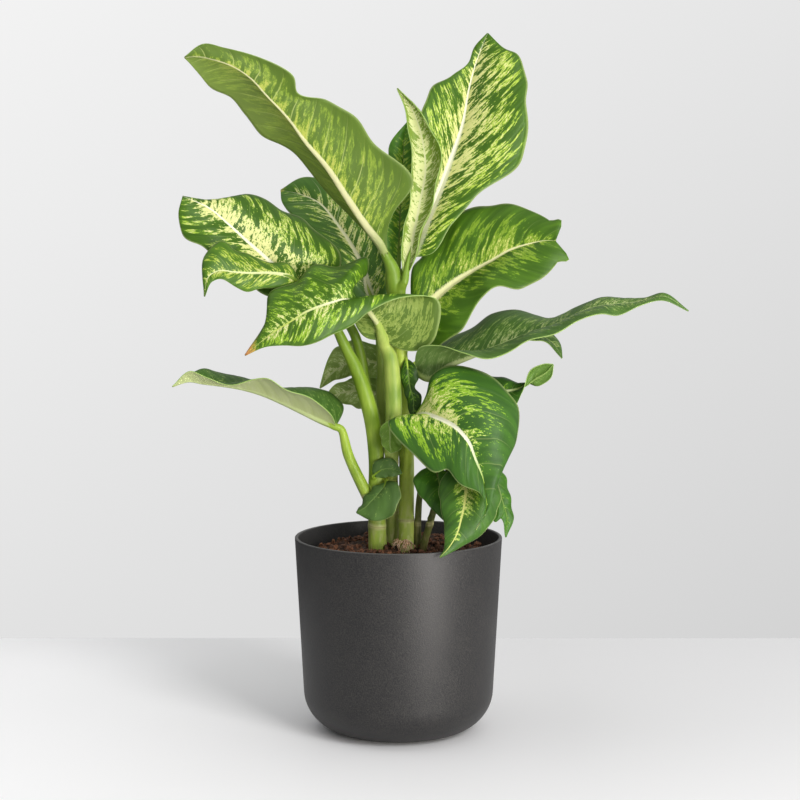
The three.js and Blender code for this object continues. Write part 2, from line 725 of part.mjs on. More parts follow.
// A blade with its raised midrib underneath, as one closed solid: both faces share their diagonals.
function buildBlade(leaf) {
  const grid = bladeRows(leaf);
  const rows = grid.length;
  const columns = grid[0].row.length;
  const middle = (columns - 1) / 2;
  const at = (j, i) => grid[j].row[i];
  const top = [];
  const bottom = [];
  for (let j = 0; j < rows; j++) {
    for (let i = 0; i < columns; i++) {
      const along = at(Math.min(j + 1, rows - 1), i).clone().sub(at(Math.max(j - 1, 0), i));
      const across = at(j, Math.min(i + 1, columns - 1)).clone().sub(at(j, Math.max(i - 1, 0)));
      const normal = across.cross(along).normalize();
      const depth = bladeThickness / 2 + (i === middle ? grid[j].ribDepth : 0);
      top.push(at(j, i).clone().addScaledVector(normal, bladeThickness / 2));
      bottom.push(at(j, i).clone().addScaledVector(normal, -depth));
    }
  }
  const under = rows * columns;
  const faces = [];
  for (let j = 0; j < rows - 1; j++) {
    for (let i = 0; i < columns - 1; i++) {
      const a = j * columns + i;
      const b = a + 1;
      const c = b + columns;
      const d = a + columns;
      const oneWay = at(j, i).distanceTo(at(j + 1, i + 1));
      const otherWay = at(j, i + 1).distanceTo(at(j + 1, i));
      const pair = oneWay < otherWay ? [a, b, c, a, c, d] : [a, b, d, b, c, d];
      faces.push(...pair, ...pair.map((v) => v + under).reverse());
    }
  }
  const wall = (a, b) => faces.push(b, a, a + under, b, a + under, b + under);
  for (let j = 0; j < rows - 1; j++) {
    wall((j + 1) * columns, j * columns);
    wall((j + 1) * columns - 1, (j + 2) * columns - 1);
  }
  for (let i = 0; i < columns - 1; i++) {
    wall(i, i + 1);
    wall((rows - 1) * columns + i + 1, (rows - 1) * columns + i);
  }
  return indexedGeometry([...top, ...bottom], faces);
}

// ---- Assembly -----------------------------------------------------------------------------------

// A stalk's route ends in line with its blade's midrib, just before the blade's base.
function stalkRoute({ blade, end, lead = 7, route }) {
  const leaf = leaves.find(({ name }) => name === blade);
  const base = new THREE.Vector3(...leaf.stations[0][0]);
  const heading = new THREE.Vector3(...leaf.stations[1][0]).sub(base).normalize();
  const stop = base.clone().addScaledVector(heading, -2 * clearance);
  const before = base.clone().addScaledVector(heading, -lead);
  return [...route, [...before.toArray(), end], [...stop.toArray(), end]];
}

// Height of the heaped, crumbly top of the soil.
function soilHeight(x, y) {
  const reach = Math.hypot(x, y) / potRimRadius;
  const lumps = Math.sin(0.31 * x + 1.1) * Math.cos(0.27 * y) + Math.sin(0.13 * x - 0.38 * y) * 0.8;
  const aside = x / heapSpread[0];
  const behind = (y - heapPlace) / heapSpread[1];
  const heap = soilHeap * (1 - reach ** 4) * Math.exp(-(aside * aside + behind * behind) / 2);
  return soilEdgeHeight + soilCrown * (1 - reach * reach) + heap + soilRelief * lumps;
}

function buildSoil(stemRoutes) {
  const inset = potWall + clearance;
  const edge = potRadius(soilEdgeHeight) - inset;
  const profile = [new THREE.Vector2(0, inset), ...cornerProfile(inset)];
  profile.push(new THREE.Vector2(edge, soilEdgeHeight));
  for (let ring = soilRings - outerRingInset; ring > 0; ring--) {
    profile.push(new THREE.Vector2((edge * ring) / soilRings, soilEdgeHeight + soilCrown));
  }
  profile.push(new THREE.Vector2(0, soilEdgeHeight + soilCrown));
  const body = turned(profile, potSides);
  const position = body.attributes.position;
  for (let i = 0; i < position.count; i++) {
    if (position.getZ(i) > soilEdgeHeight + 1) {
      position.setZ(i, soilHeight(position.getX(i), position.getY(i)));
    }
  }
  let soil = toSolid(body);
  for (const route of stemRoutes) {
    soil = soil.subtract(stemSolid(route, clearance));
  }
  return toGeometry(soil);
}

const plant = new THREE.Group();
plant.add(mesh("pot", buildPot(), colours.pot, 0.6));

const rooted = [];
const stemMeshes = Object.entries(stems).map(([name, stalks]) => {
  const routes = stalks.map(stalkRoute);
  rooted.push(...routes.filter((route) => route[0][2] < soilEdgeHeight));
  const solid = routes.map((route) => stemSolid(route)).reduce((a, b) => a.add(b));
  return mesh(name, toGeometry(solid), colours.stem, 0.5);
});
plant.add(mesh("soil", buildSoil(rooted), colours.soil, 1));
plant.add(...stemMeshes);

for (const leaf of leaves) {
  const colour = colours[leaf.colour ?? "blade"];
  plant.add(mesh(leaf.name, buildBlade(leaf), colour, 0.45));
}

export default plant;
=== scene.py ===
# A potted dieffenbachia (dumb cane): planter, potting mix, four leafy canes and their blades.
# Metres, +Z up, the origin under the middle of the pot and +Y to the back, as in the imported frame.
# The routes of canes and the stations of blades are in millimetres.
import math
import random

import bmesh
import bpy
from mathutils import Matrix, Vector, noise


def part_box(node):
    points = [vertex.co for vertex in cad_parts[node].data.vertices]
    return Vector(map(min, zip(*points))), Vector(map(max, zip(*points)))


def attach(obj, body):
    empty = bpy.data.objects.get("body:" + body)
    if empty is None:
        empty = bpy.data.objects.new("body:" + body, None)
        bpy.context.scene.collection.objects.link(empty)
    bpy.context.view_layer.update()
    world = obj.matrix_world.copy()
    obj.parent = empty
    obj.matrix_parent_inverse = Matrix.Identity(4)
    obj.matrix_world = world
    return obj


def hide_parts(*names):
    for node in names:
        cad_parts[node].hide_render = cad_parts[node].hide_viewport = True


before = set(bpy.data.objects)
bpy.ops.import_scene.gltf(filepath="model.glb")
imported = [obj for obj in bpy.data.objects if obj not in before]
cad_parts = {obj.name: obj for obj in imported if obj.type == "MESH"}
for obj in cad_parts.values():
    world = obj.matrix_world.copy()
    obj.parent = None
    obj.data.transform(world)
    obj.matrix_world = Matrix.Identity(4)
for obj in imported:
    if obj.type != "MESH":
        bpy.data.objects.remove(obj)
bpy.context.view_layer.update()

# ---- Pot ---------------------------------------------------------------------------------------
# A round indoor planter with a rounded foot, a wall that flares a little and a plain thin rim.
# Injection-moulded polypropylene with mineral filler, its mould lightly eroded, so that it is matt
# and finely speckled.

POT_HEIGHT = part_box("pot")[1][2]
POT_RIM_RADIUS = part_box("pot")[1][0]
POT_LOW_RADIUS = 0.0827  # above the rounded foot
POT_CORNER = 0.033  # radius of the foot's rounding
POT_WALL = 0.003
POT_LIP = 0.0009  # bevel on both edges of the rim
POT_SIDES = 160
PAINTED_RIM_HIGHLIGHT_DEPTH = 0.0008  # how far down the rim's top is painted paler, a painted highlight


def linear(code):
    """An sRGB hex colour as linear red, green, blue and alpha."""
    parts = [int(code[i : i + 2], 16) / 255 for i in (1, 3, 5)]
    return [c / 12.92 if c <= 0.04045 else ((c + 0.055) / 1.055) ** 2.4 for c in parts] + [1.0]


def new_material(name):
    """A material and its empty node tree."""
    material = bpy.data.materials.new(name)
    material.use_nodes = True
    material.node_tree.nodes.clear()
    return material, material.node_tree


def add(tree, kind, inputs=None, **settings):
    """Adds a node with its settings. An input takes a value, a socket, or a node, which stands for its
    first output in use."""
    node = tree.nodes.new("ShaderNode" + kind)
    for key, value in settings.items():
        setattr(node, key, value)
    for key, value in (inputs or {}).items():
        if isinstance(value, bpy.types.Node):
            value = next(output for output in value.outputs if output.enabled)
        if isinstance(value, bpy.types.NodeSocket):
            tree.links.new(value, node.inputs[key])
        else:
            node.inputs[key].default_value = value
    return node


def select_only(*objects):
    """Leaves object mode's selection at these objects, the last of them active."""
    bpy.ops.object.select_all(action="DESELECT")
    for piece in objects:
        piece.select_set(True)
        bpy.context.view_layer.objects.active = piece


def moulded_plastic():
    """Filled polypropylene from an eroded mould: near black, with pale grains of about a millimetre and
    soft broad gloss. The rim's top is painted paler, a painted highlight along its edge."""
    material, tree = new_material("moulded_plastic")
    place = add(tree, "TexCoord").outputs["Object"]
    # grains of 0.95 mm, and clouds of 18 mm
    grain = add(tree, "TexNoise", {"Vector": place, "Scale": 1050.0, "Detail": 2.0})
    cloud = add(tree, "TexNoise", {"Vector": place, "Scale": 55.0, "Detail": 3.0})
    tone = add(tree, "Math", {0: grain, 1: 2.2, 2: -0.9}, operation="MULTIPLY_ADD")
    tone = add(tree, "Math", {0: cloud, 1: 0.25, 2: tone}, operation="MULTIPLY_ADD")
    colour = add(tree, "Mix", {0: tone, 6: linear("#0A0A0E"), 7: linear("#34322F")}, data_type="RGBA")
    high = add(tree, "SeparateXYZ", {0: place}).outputs["Z"]
    # painted highlight: the rim's top is painted paler where its edge catches the light
    highlight_from = POT_HEIGHT - PAINTED_RIM_HIGHLIGHT_DEPTH
    painted_rim_highlight = add(tree, "MapRange", {0: high, 1: highlight_from, 2: POT_HEIGHT, 3: 0.0, 4: 0.4})
    colour = add(tree, "Mix", {0: painted_rim_highlight, 6: colour, 7: linear("#6E6D6C")}, data_type="RGBA")
    rough = add(tree, "MapRange", {0: grain, 1: 0.3, 2: 0.7, 3: 0.46, 4: 0.56})
    bump = add(tree, "Bump", {"Strength": 0.45, "Distance": 0.0003, "Height": grain})
    finish = {"Base Color": colour, "Roughness": rough, "Normal": bump, "Specular IOR Level": 0.5}
    add(tree, "OutputMaterial", {0: add(tree, "BsdfPrincipled", finish)})
    return material


def make_pot():
    """A cylinder flared to the rim, its inside sunk from the top, then its foot and rim bevelled."""
    flare = (POT_RIM_RADIUS - POT_LOW_RADIUS) / (POT_HEIGHT - POT_CORNER)
    foot = POT_RIM_RADIUS - flare * POT_HEIGHT
    sliver = 0.0002  # of wall left between the foot's rounding and the first ring above it
    bpy.ops.object.select_all(action="DESELECT")
    bpy.ops.mesh.primitive_cone_add(
        vertices=POT_SIDES, radius1=foot, radius2=POT_RIM_RADIUS, depth=POT_HEIGHT
    )
    pot = bpy.context.object
    pot.name = "planter"
    pot.data.transform(Matrix.Translation((0, 0, POT_HEIGHT / 2)))
    bpy.ops.object.mode_set(mode="EDIT")
    mesh = bmesh.from_edit_mesh(pot.data)
    bpy.ops.mesh.select_mode(type="FACE")
    bpy.ops.mesh.select_all(action="DESELECT")
    for face in mesh.faces:
        face.select = face.normal.z > 0.9
    bmesh.update_edit_mesh(pot.data)
    bpy.ops.mesh.inset(thickness=POT_WALL)
    for sink in (POT_HEIGHT - POT_CORNER, POT_CORNER - POT_WALL):
        bpy.ops.mesh.extrude_region_move(TRANSFORM_OT_translate={"value": (0, 0, -sink)})
        narrow = 1 - flare * sink / (POT_RIM_RADIUS - POT_WALL)
        bpy.ops.transform.resize(value=(narrow, narrow, 1))
    for width, steps, level in (
        (POT_CORNER - sliver, 14, 0),
        (POT_CORNER - POT_WALL, 14, POT_WALL),
        (POT_LIP, 3, POT_HEIGHT),
    ):
        bpy.ops.mesh.select_mode(type="EDGE")
        bpy.ops.mesh.select_all(action="DESELECT")
        mesh = bmesh.from_edit_mesh(pot.data)
        for edge in mesh.edges:
            at_level = all(abs(v.co.z - level) < 0.0001 for v in edge.verts)
            edge.select = at_level and len(edge.link_faces) == 2 and edge.calc_face_angle(0) > 0.5
        bmesh.update_edit_mesh(pot.data)
        bpy.ops.mesh.bevel(offset=width, segments=steps, affect="EDGES")
    bpy.ops.mesh.select_all(action="SELECT")
    bpy.ops.mesh.normals_make_consistent(inside=False)
    bpy.ops.object.mode_set(mode="OBJECT")
    select_only(pot)
    bpy.ops.object.shade_smooth_by_angle(angle=math.radians(40))
    pot.data.materials.append(moulded_plastic())
    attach(pot, "root")
    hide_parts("pot")


make_pot()

# ---- Potting mix -------------------------------------------------------------------------------
# Bark fines and coir, heaped behind the canes. The bed is one lump of fine crumbs, and loose bark
# chips lie on it, darker where they are damp.

SOIL_EDGE_HEIGHT = 0.149
SOIL_CROWN = 0.005  # rise of the whole bed to its middle
SOIL_HEAP = 0.011  # rise of the heap behind the canes
HEAP_MIDDLE = 38  # mm behind the pot's axis
HEAP_SPREAD = (50, 26)  # mm, sideways and from front to back
LUMP_RISE = 0.0013
CRUMB_RISE = 0.0011
SOIL_RADIUS = 0.0857
SOIL_SKIRT = 0.02  # how far the bed's side reaches down
SOIL_STEPS = 150
CHIP_COUNT = 1100
CHIP_SIZES = (0.8, 3.4)  # half a chip's length, about in millimetres


def bark_and_coir(name, dark, pale):
    """Damp shredded bark: dark brown crumbs of a millimetre or two, with near-black gaps."""
    material, tree = new_material(name)
    place = add(tree, "TexCoord").outputs["Object"]
    # crumbs of 2.4 mm, fibres of 1.1 mm and damp patches of 11 mm
    crumbs = add(tree, "TexVoronoi", {"Vector": place, "Scale": 420.0, "Randomness": 1.0})
    fibre = add(tree, "TexNoise", {"Vector": place, "Scale": 900.0, "Detail": 3.0})
    patch = add(tree, "TexNoise", {"Vector": place, "Scale": 90.0, "Detail": 2.0})
    shade = crumbs.outputs["Color"]
    tone = add(tree, "Math", {0: shade, 1: 0.75, 2: -0.1}, operation="MULTIPLY_ADD")
    tone = add(tree, "Math", {0: patch, 1: 0.3, 2: tone}, operation="MULTIPLY_ADD")
    colour = add(tree, "Mix", {0: tone, 6: linear(dark), 7: linear(pale)}, data_type="RGBA")
    height = add(tree, "Math", {0: crumbs, 1: fibre}, operation="ADD")
    bump = add(tree, "Bump", {"Strength": 0.8, "Distance": 0.001, "Height": height})
    finish = {"Base Color": colour, "Roughness": 0.85, "Normal": bump}
    add(tree, "OutputMaterial", {0: add(tree, "BsdfPrincipled", finish)})
    return material


def soil_height(x, y):
    """The heaped, lumpy top of the mix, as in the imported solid, with finer crumbs on it."""
    reach = math.hypot(x, y) / POT_RIM_RADIUS
    px = x * 1000
    py = y * 1000
    lumps = math.sin(0.31 * px + 1.1) * math.cos(0.27 * py) + math.sin(0.13 * px - 0.38 * py) * 0.8
    crumbs = noise.fractal(Vector((px, py, 0)) * 0.22, 0.6, 2.0, 4)
    spread = (px / HEAP_SPREAD[0]) ** 2 + ((py - HEAP_MIDDLE) / HEAP_SPREAD[1]) ** 2
    heap = SOIL_HEAP * (1 - reach**4) * math.exp(-spread / 2)
    crown = SOIL_CROWN * (1 - reach * reach)
    return SOIL_EDGE_HEIGHT + crown + heap + LUMP_RISE * lumps + CRUMB_RISE * crumbs


def make_soil():
    """A fine disc pressed to the heap's height, with a shallow skirt, and bark chips strewn on it."""
    finish = bark_and_coir("damp_coir", "#0A0604", "#5E3A24")
    chip_finish = bark_and_coir("bark_chips", "#150B06", "#8C5A3C")
    bpy.ops.object.select_all(action="DESELECT")
    bpy.ops.mesh.primitive_grid_add(x_subdivisions=SOIL_STEPS, y_subdivisions=SOIL_STEPS, size=2)
    bed = bpy.context.object
    bed.name = "soil_bed"
    for vertex in bed.data.vertices:
        x, y, _ = vertex.co
        square = max(abs(x), abs(y))
        squeeze = square / math.hypot(x, y) if square > 0 else 0
        x, y = x * squeeze * SOIL_RADIUS, y * squeeze * SOIL_RADIUS
        vertex.co = (x, y, soil_height(x, y))
    bpy.ops.object.mode_set(mode="EDIT")
    bpy.ops.mesh.select_all(action="SELECT")
    bpy.ops.mesh.extrude_region_move(TRANSFORM_OT_translate={"value": (0, 0, -SOIL_SKIRT)})
    bpy.ops.mesh.select_all(action="SELECT")
    bpy.ops.mesh.normals_make_consistent(inside=False)
    bpy.ops.object.mode_set(mode="OBJECT")
    bpy.ops.object.shade_smooth()
    bed.data.materials.append(finish)

    draw = random.Random(11)
    bpy.ops.mesh.primitive_ico_sphere_add(subdivisions=2, radius=1)
    chip = bpy.context.object
    for vertex in chip.data.vertices:
        vertex.co *= 1 + 0.35 * noise.noise(vertex.co * 1.7)
    chips = bmesh.new()
    for _ in range(CHIP_COUNT):
        turn = draw.uniform(0, 2 * math.pi)
        reach = SOIL_RADIUS * math.sqrt(draw.uniform(0, 0.9))
        x, y = reach * math.cos(turn), reach * math.sin(turn)
        size = draw.uniform(*CHIP_SIZES) ** 1.1 / 1000
        lean = draw.uniform(0, math.pi)
        tilt = Matrix.Rotation(lean, 4, Vector([draw.uniform(-1, 1) for _ in "xyz"]))
        shape = Matrix.Diagonal((size, size * draw.uniform(0.35, 0.8), size * 0.4, 1))
        start = len(chips.verts)
        chips.from_mesh(chip.data)
        chips.verts.ensure_lookup_table()
        place = Matrix.Translation((x, y, soil_height(x, y) + size * 0.3)) @ tilt @ shape
        for vertex in chips.verts[start:]:
            vertex.co = place @ vertex.co
    chips.to_mesh(chip.data)
    chips.free()
    chip.name = "bark_chips"
    chip.data.materials.append(chip_finish)
    for piece in (bed, chip):
        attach(piece, "root")
    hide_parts("soil")


make_soil()

# ---- Canes -------------------------------------------------------------------------------------
# Soft green canes, ringed where old leaves sat, and the fleshy stalks that sheathe them. A cane and
# its stalks grew as one, so they are one skin, melted together where a stalk leaves the cane.

CANE_VOXEL = 0.0007  # the skin's mesh size
STALK_SIDES = 24
ROUTE_STEP = 2.5  # mm along a route
SCAR_SWELL = 0.55  # mm by which a cane is thicker at a leaf scar
SCAR_SPREAD = 1.6  # mm above and below the scar
midrib_starts = {}  # for each blade, the first three points of its midrib, which its stalk follows


def cane_skin(name, dark, pale, dry, scars, painted_top_shade=None):
    """Living cane: waxy skin with fine upright fibres, a pale band with a thin brown line at the height
    of each scar, and a foot blotched by dry papery skin. The cane's top is painted a darker green as
    painted shade from the blades above: the last argument gives the heights in millimetres where it
    begins and where it is full, and the shade it turns to."""
    material, tree = new_material(name)
    place = add(tree, "TexCoord").outputs["Object"]
    high = add(tree, "SeparateXYZ", {0: place}).outputs["Z"]
    # fibres of 1.1 mm and streaks of 7 mm, both drawn upright, clouds of 22 mm and blotches of 3 mm
    drawn = add(tree, "Mapping", {"Vector": place, "Scale": (1.0, 1.0, 0.07)})
    fibre = add(tree, "TexNoise", {"Vector": drawn, "Scale": 900.0, "Detail": 2.0})
    streak = add(tree, "TexNoise", {"Vector": drawn, "Scale": 150.0, "Detail": 2.0})
    cloud = add(tree, "TexNoise", {"Vector": place, "Scale": 45.0, "Detail": 1.0})
    smear = add(tree, "Mapping", {"Vector": place, "Scale": (1.0, 1.0, 0.3)})
    blotch = add(tree, "TexNoise", {"Vector": smear, "Scale": 330.0, "Detail": 4.0})
    tone = add(tree, "Math", {0: fibre, 1: 0.35, 2: streak}, operation="MULTIPLY_ADD")
    tone = add(tree, "Math", {0: cloud, 1: 1.2, 2: tone}, operation="MULTIPLY_ADD")
    tone = add(tree, "MapRange", {0: tone, 1: 1.0, 2: 1.55, 3: 0.0, 4: 1.0})
    colour = add(tree, "Mix", {0: tone, 6: linear(dark), 7: linear(pale)}, data_type="RGBA")
    wobble = add(tree, "Math", {0: cloud, 1: 0.008, 2: high}, operation="MULTIPLY_ADD")
    layers = []
    # painted shade: the cane's top turns a darker green where the blades above shade it
    if painted_top_shade:
        low, full, shade = painted_top_shade
        share = add(tree, "MapRange", {0: high, 1: low / 1000, 2: full / 1000, 3: 0.0, 4: 0.85})
        layers.append((share, shade))
    for scar in scars:
        off = add(tree, "Math", {0: wobble, 1: scar / 1000 + 0.004}, operation="SUBTRACT")
        off = add(tree, "Math", {0: off}, operation="ABSOLUTE")
        for span, share, shade in ((0.003, 0.7, "#C9C690"), (0.0006, 0.6, "#8B7E4E")):
            line = add(tree, "MapRange", {0: off, 1: span / 4, 2: span, 3: share, 4: 0.0})
            layers.append((line, shade))

    # dry skin blotches the lower few centimetres, and the mix stains the cane where it leaves it
    foot = add(tree, "MapRange", {0: high, 1: 0.22, 2: 0.165, 3: 0.0, 4: 1.0})
    spots = add(tree, "MapRange", {0: blotch, 1: 0.47, 2: 0.6, 3: 0.2, 4: 0.9})
    worn = add(tree, "Math", {0: foot, 1: spots}, operation="MULTIPLY")
    stain = add(tree, "MapRange", {0: wobble, 1: 0.168, 2: 0.157, 3: 0.0, 4: 0.6})
    for share, shade in layers + [(worn, dry), (stain, "#4F4224")]:
        colour = add(tree, "Mix", {0: share, 6: colour, 7: linear(shade)}, data_type="RGBA")
    bump = add(tree, "Bump", {"Strength": 0.3, "Distance": 0.0003, "Height": tone})
    finish = {"Base Color": colour, "Roughness": 0.42, "Normal": bump, "Specular IOR Level": 0.25}
    add(tree, "OutputMaterial", {0: add(tree, "BsdfPrincipled", finish)})
    return material


def smooth_route(points):
    """Places and radii along a centripetal Catmull-Rom curve through points of (x, y, z, radius)."""
    knots = [Vector(p[:3]) for p in points]
    knots = [2 * knots[0] - knots[1]] + knots + [2 * knots[-1] - knots[-2]]
    route = []
    for i in range(len(points) - 1):
        a, b, c, d = knots[i : i + 4]
        ab, bc, cd = (math.sqrt((q - p).length) for p, q in ((a, b), (b, c), (c, d)))
        out = ((b - a) / ab - (c - a) / (ab + bc) + (c - b) / bc) * bc
        into = ((c - b) / bc - (d - b) / (bc + cd) + (d - c) / cd) * bc
        count = max(2, round((c - b).length / ROUTE_STEP))
        for k in range(count + (i == len(points) - 2)):
            t = k / count
            place = b * (1 + 2 * t) * (1 - t) ** 2 + out * t * (1 - t) ** 2
            place += c * t * t * (3 - 2 * t) + into * t * t * (t - 1)
            ease = t * t * (3 - 2 * t)
            route.append((place, points[i][3] + (points[i + 1][3] - points[i][3]) * ease))
    return route


def stalk(blade, route, base, heading, beyond, end, lead=7):
    """A stalk's route, finished under its blade, along the first three points of the midrib, while it
    thins out from the radius end. Lead is how far before the blade it lies in line with it."""
    midrib_starts[blade] = (base, heading, beyond)
    along = (Vector(heading) - Vector(base)).normalized()
    before = Vector(base) - along * lead
    inside = Vector(base).lerp(Vector(heading), 0.95)
    last = Vector(heading).lerp(Vector(beyond), 0.6)
    return route + [(*before, end), (*base, end * 0.95), (*inside, end * 0.6), (*last, end * 0.15)]


def apply_modifier(piece, kind, **settings):
    """Adds a modifier with its settings and applies it."""
    select_only(piece)
    modifier = piece.modifiers.new(kind.lower(), kind)
    for key, value in settings.items():
        setattr(modifier, key, value)
    bpy.ops.object.modifier_apply(modifier=modifier.name)


def make_cane(name, finish, scars, stalks):
    """A cylinder for each stalk, the first of which is the cane, bent along its route and swollen at
    its scars, then melted into one skin."""
    parts = []
    for points in stalks:
        route = smooth_route(points)
        bpy.ops.object.select_all(action="DESELECT")
        bpy.ops.mesh.primitive_grid_add(
            x_subdivisions=STALK_SIDES, y_subdivisions=len(route) - 1, size=2
        )
        part = bpy.context.object
        start = route[1][0] - route[0][0]
        normal = start.orthogonal().normalized()
        frames = []
        for k in range(len(route)):
            ahead = route[min(k + 1, len(route) - 1)][0]
            behind = route[max(k - 1, 0)][0]
            along = (ahead - behind).normalized()
            normal = (normal - along * normal.dot(along)).normalized()
            frames.append((normal, along.cross(normal)))
        for vertex in part.data.vertices:
            k = round((vertex.co.y + 1) / 2 * (len(route) - 1))
            turn = (vertex.co.x + 1) * math.pi
            place, radius = route[k]
            if points is stalks[0]:
                swell = sum(math.exp(-(((place.z - scar) / SCAR_SPREAD) ** 2)) for scar in scars)
                radius += SCAR_SWELL * swell
            out, side = frames[k]
            vertex.co = (place + (out * math.cos(turn) + side * math.sin(turn)) * radius) / 1000
        bpy.ops.object.mode_set(mode="EDIT")
        bpy.ops.mesh.select_all(action="SELECT")
        bpy.ops.mesh.remove_doubles(threshold=1e-6)
        bpy.ops.mesh.select_all(action="DESELECT")
        bpy.ops.mesh.select_non_manifold()
        bpy.ops.mesh.fill_holes(sides=0)
        bpy.ops.mesh.select_all(action="SELECT")
        bpy.ops.mesh.normals_make_consistent(inside=False)
        bpy.ops.object.mode_set(mode="OBJECT")
        parts.append(part)
    select_only(*reversed(parts))
    bpy.ops.object.join()
    cane = parts[0]
    cane.name = name + "_skin"
    apply_modifier(cane, "REMESH", mode="VOXEL", voxel_size=CANE_VOXEL, use_smooth_shade=True)
    apply_modifier(cane, "SMOOTH", factor=0.5, iterations=3)
    cane.data.materials.append(finish)
    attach(cane, "root")
    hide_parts(name)


scars = (178, 204)
# the left cane's top is painted darker, as shade from its blades
skin = cane_skin(
    "left_cane_skin", "#69861F", "#93AC3C", "#A3AB66", scars, painted_top_shade=(265, 340, "#5F7C1C")
)
make_cane("stem_left", skin, scars, [
    stalk("leaf_left_lower",
        [(-18, 0, 103, 8), (-18, 0, 154, 8.2), (-19, 0, 200, 7.4), (-19, -1, 235, 6.9),
         (-22, -2, 266, 7), (-27, -3, 287, 6.8), (-36, -4, 313, 6), (-45, -6, 332, 4.8),
         (-56, -13, 355, 3.8), (-69, -20, 372, 3.2)],
        (-84, -24, 388), (-92, -30, 394), (-106, -38, 397), 2.6),
    stalk("leaf_left_upper",
        [(-22, 4, 261, 6), (-29, 12, 300, 5), (-33, 14, 325, 4.8), (-40, 11, 347, 4.2),
         (-55, 5, 366, 3.4)],
        (-87, -4, 384), (-95, -8, 393), (-110, -12, 407), 2.6, lead=5),
    stalk("leaf_left_long",
        [(-19, -2, 188, 5.6), (-30, -6, 211, 5.1), (-43, -9, 240, 4.5)],
        (-54, -12, 265), (-64, -14, 269), (-82, -18, 278), 3.4, lead=5),
    stalk("leaf_low_rounded",
        [(-13, -4, 218, 2.4)],
        (-11, -11, 217), (-12, -16, 214), (-17, -18, 208), 1.5, lead=3),
    stalk("leaf_low_shield",
        [(-19, -4, 220, 2.6)],
        (-21, -10, 223), (-16, -11, 227), (-10, -12, 229), 1.3, lead=2),
])
scars = (190, 233)
skin = cane_skin("middle_cane_skin", "#728C36", "#A4B458", "#AFB078", scars)
make_cane("stem_middle", skin, scars, [
    stalk("leaf_centre_front",
        [(-5, 14, 100, 6.3), (-5, 13, 152, 6.5), (-5, 10, 199, 6.2), (-6, 4, 217, 5.6),
         (-6, -3, 234, 6), (-5, -7, 253, 6.7), (-4, -9, 279, 7.2), (-5, -10, 305, 7),
         (-7, -12, 324, 6.4)],
        (-13, -14, 340), (-17, -22, 353), (-24, -32, 364), 5.6),
    stalk("leaf_left_back",
        [(-5, 4, 226, 4.6), (-10, 13, 251, 4.6), (-15, 18, 286, 4.4), (-15, 20, 320, 4),
         (-17, 22, 345, 3.4)],
        (-19, 24, 366), (-25, 27, 378), (-31, 34, 399), 2.6, lead=5),
    stalk("leaf_back_hanging",
        [(-6, 6, 239, 4), (-6, 16, 264, 3), (-5, 30, 289, 2.8)],
        (-6, 40, 312), (-13, 42, 315), (-28, 45, 318), 2.2),
    stalk("leaf_back_small",
        [(-6, 10, 251, 3), (-5, 21, 270, 2.6)],
        (-8, 26, 287), (-15, 29, 290), (-29, 31, 292), 2, lead=5),
    stalk("leaf_behind_left",
        [(-6, 10, 251, 3.4), (-3, 22, 294, 3), (-3, 25, 320, 2.8)],
        (-10, 34, 339), (-19, 52, 356), (-35, 78, 378), 2.6),
    stalk("leaf_bract",
        [(-5, -12, 274, 2.4)],
        (-6, -19, 271), (-7, -22, 265), (-7, -24, 258), 1.4, lead=1.5),
])
scars = (183, 262)
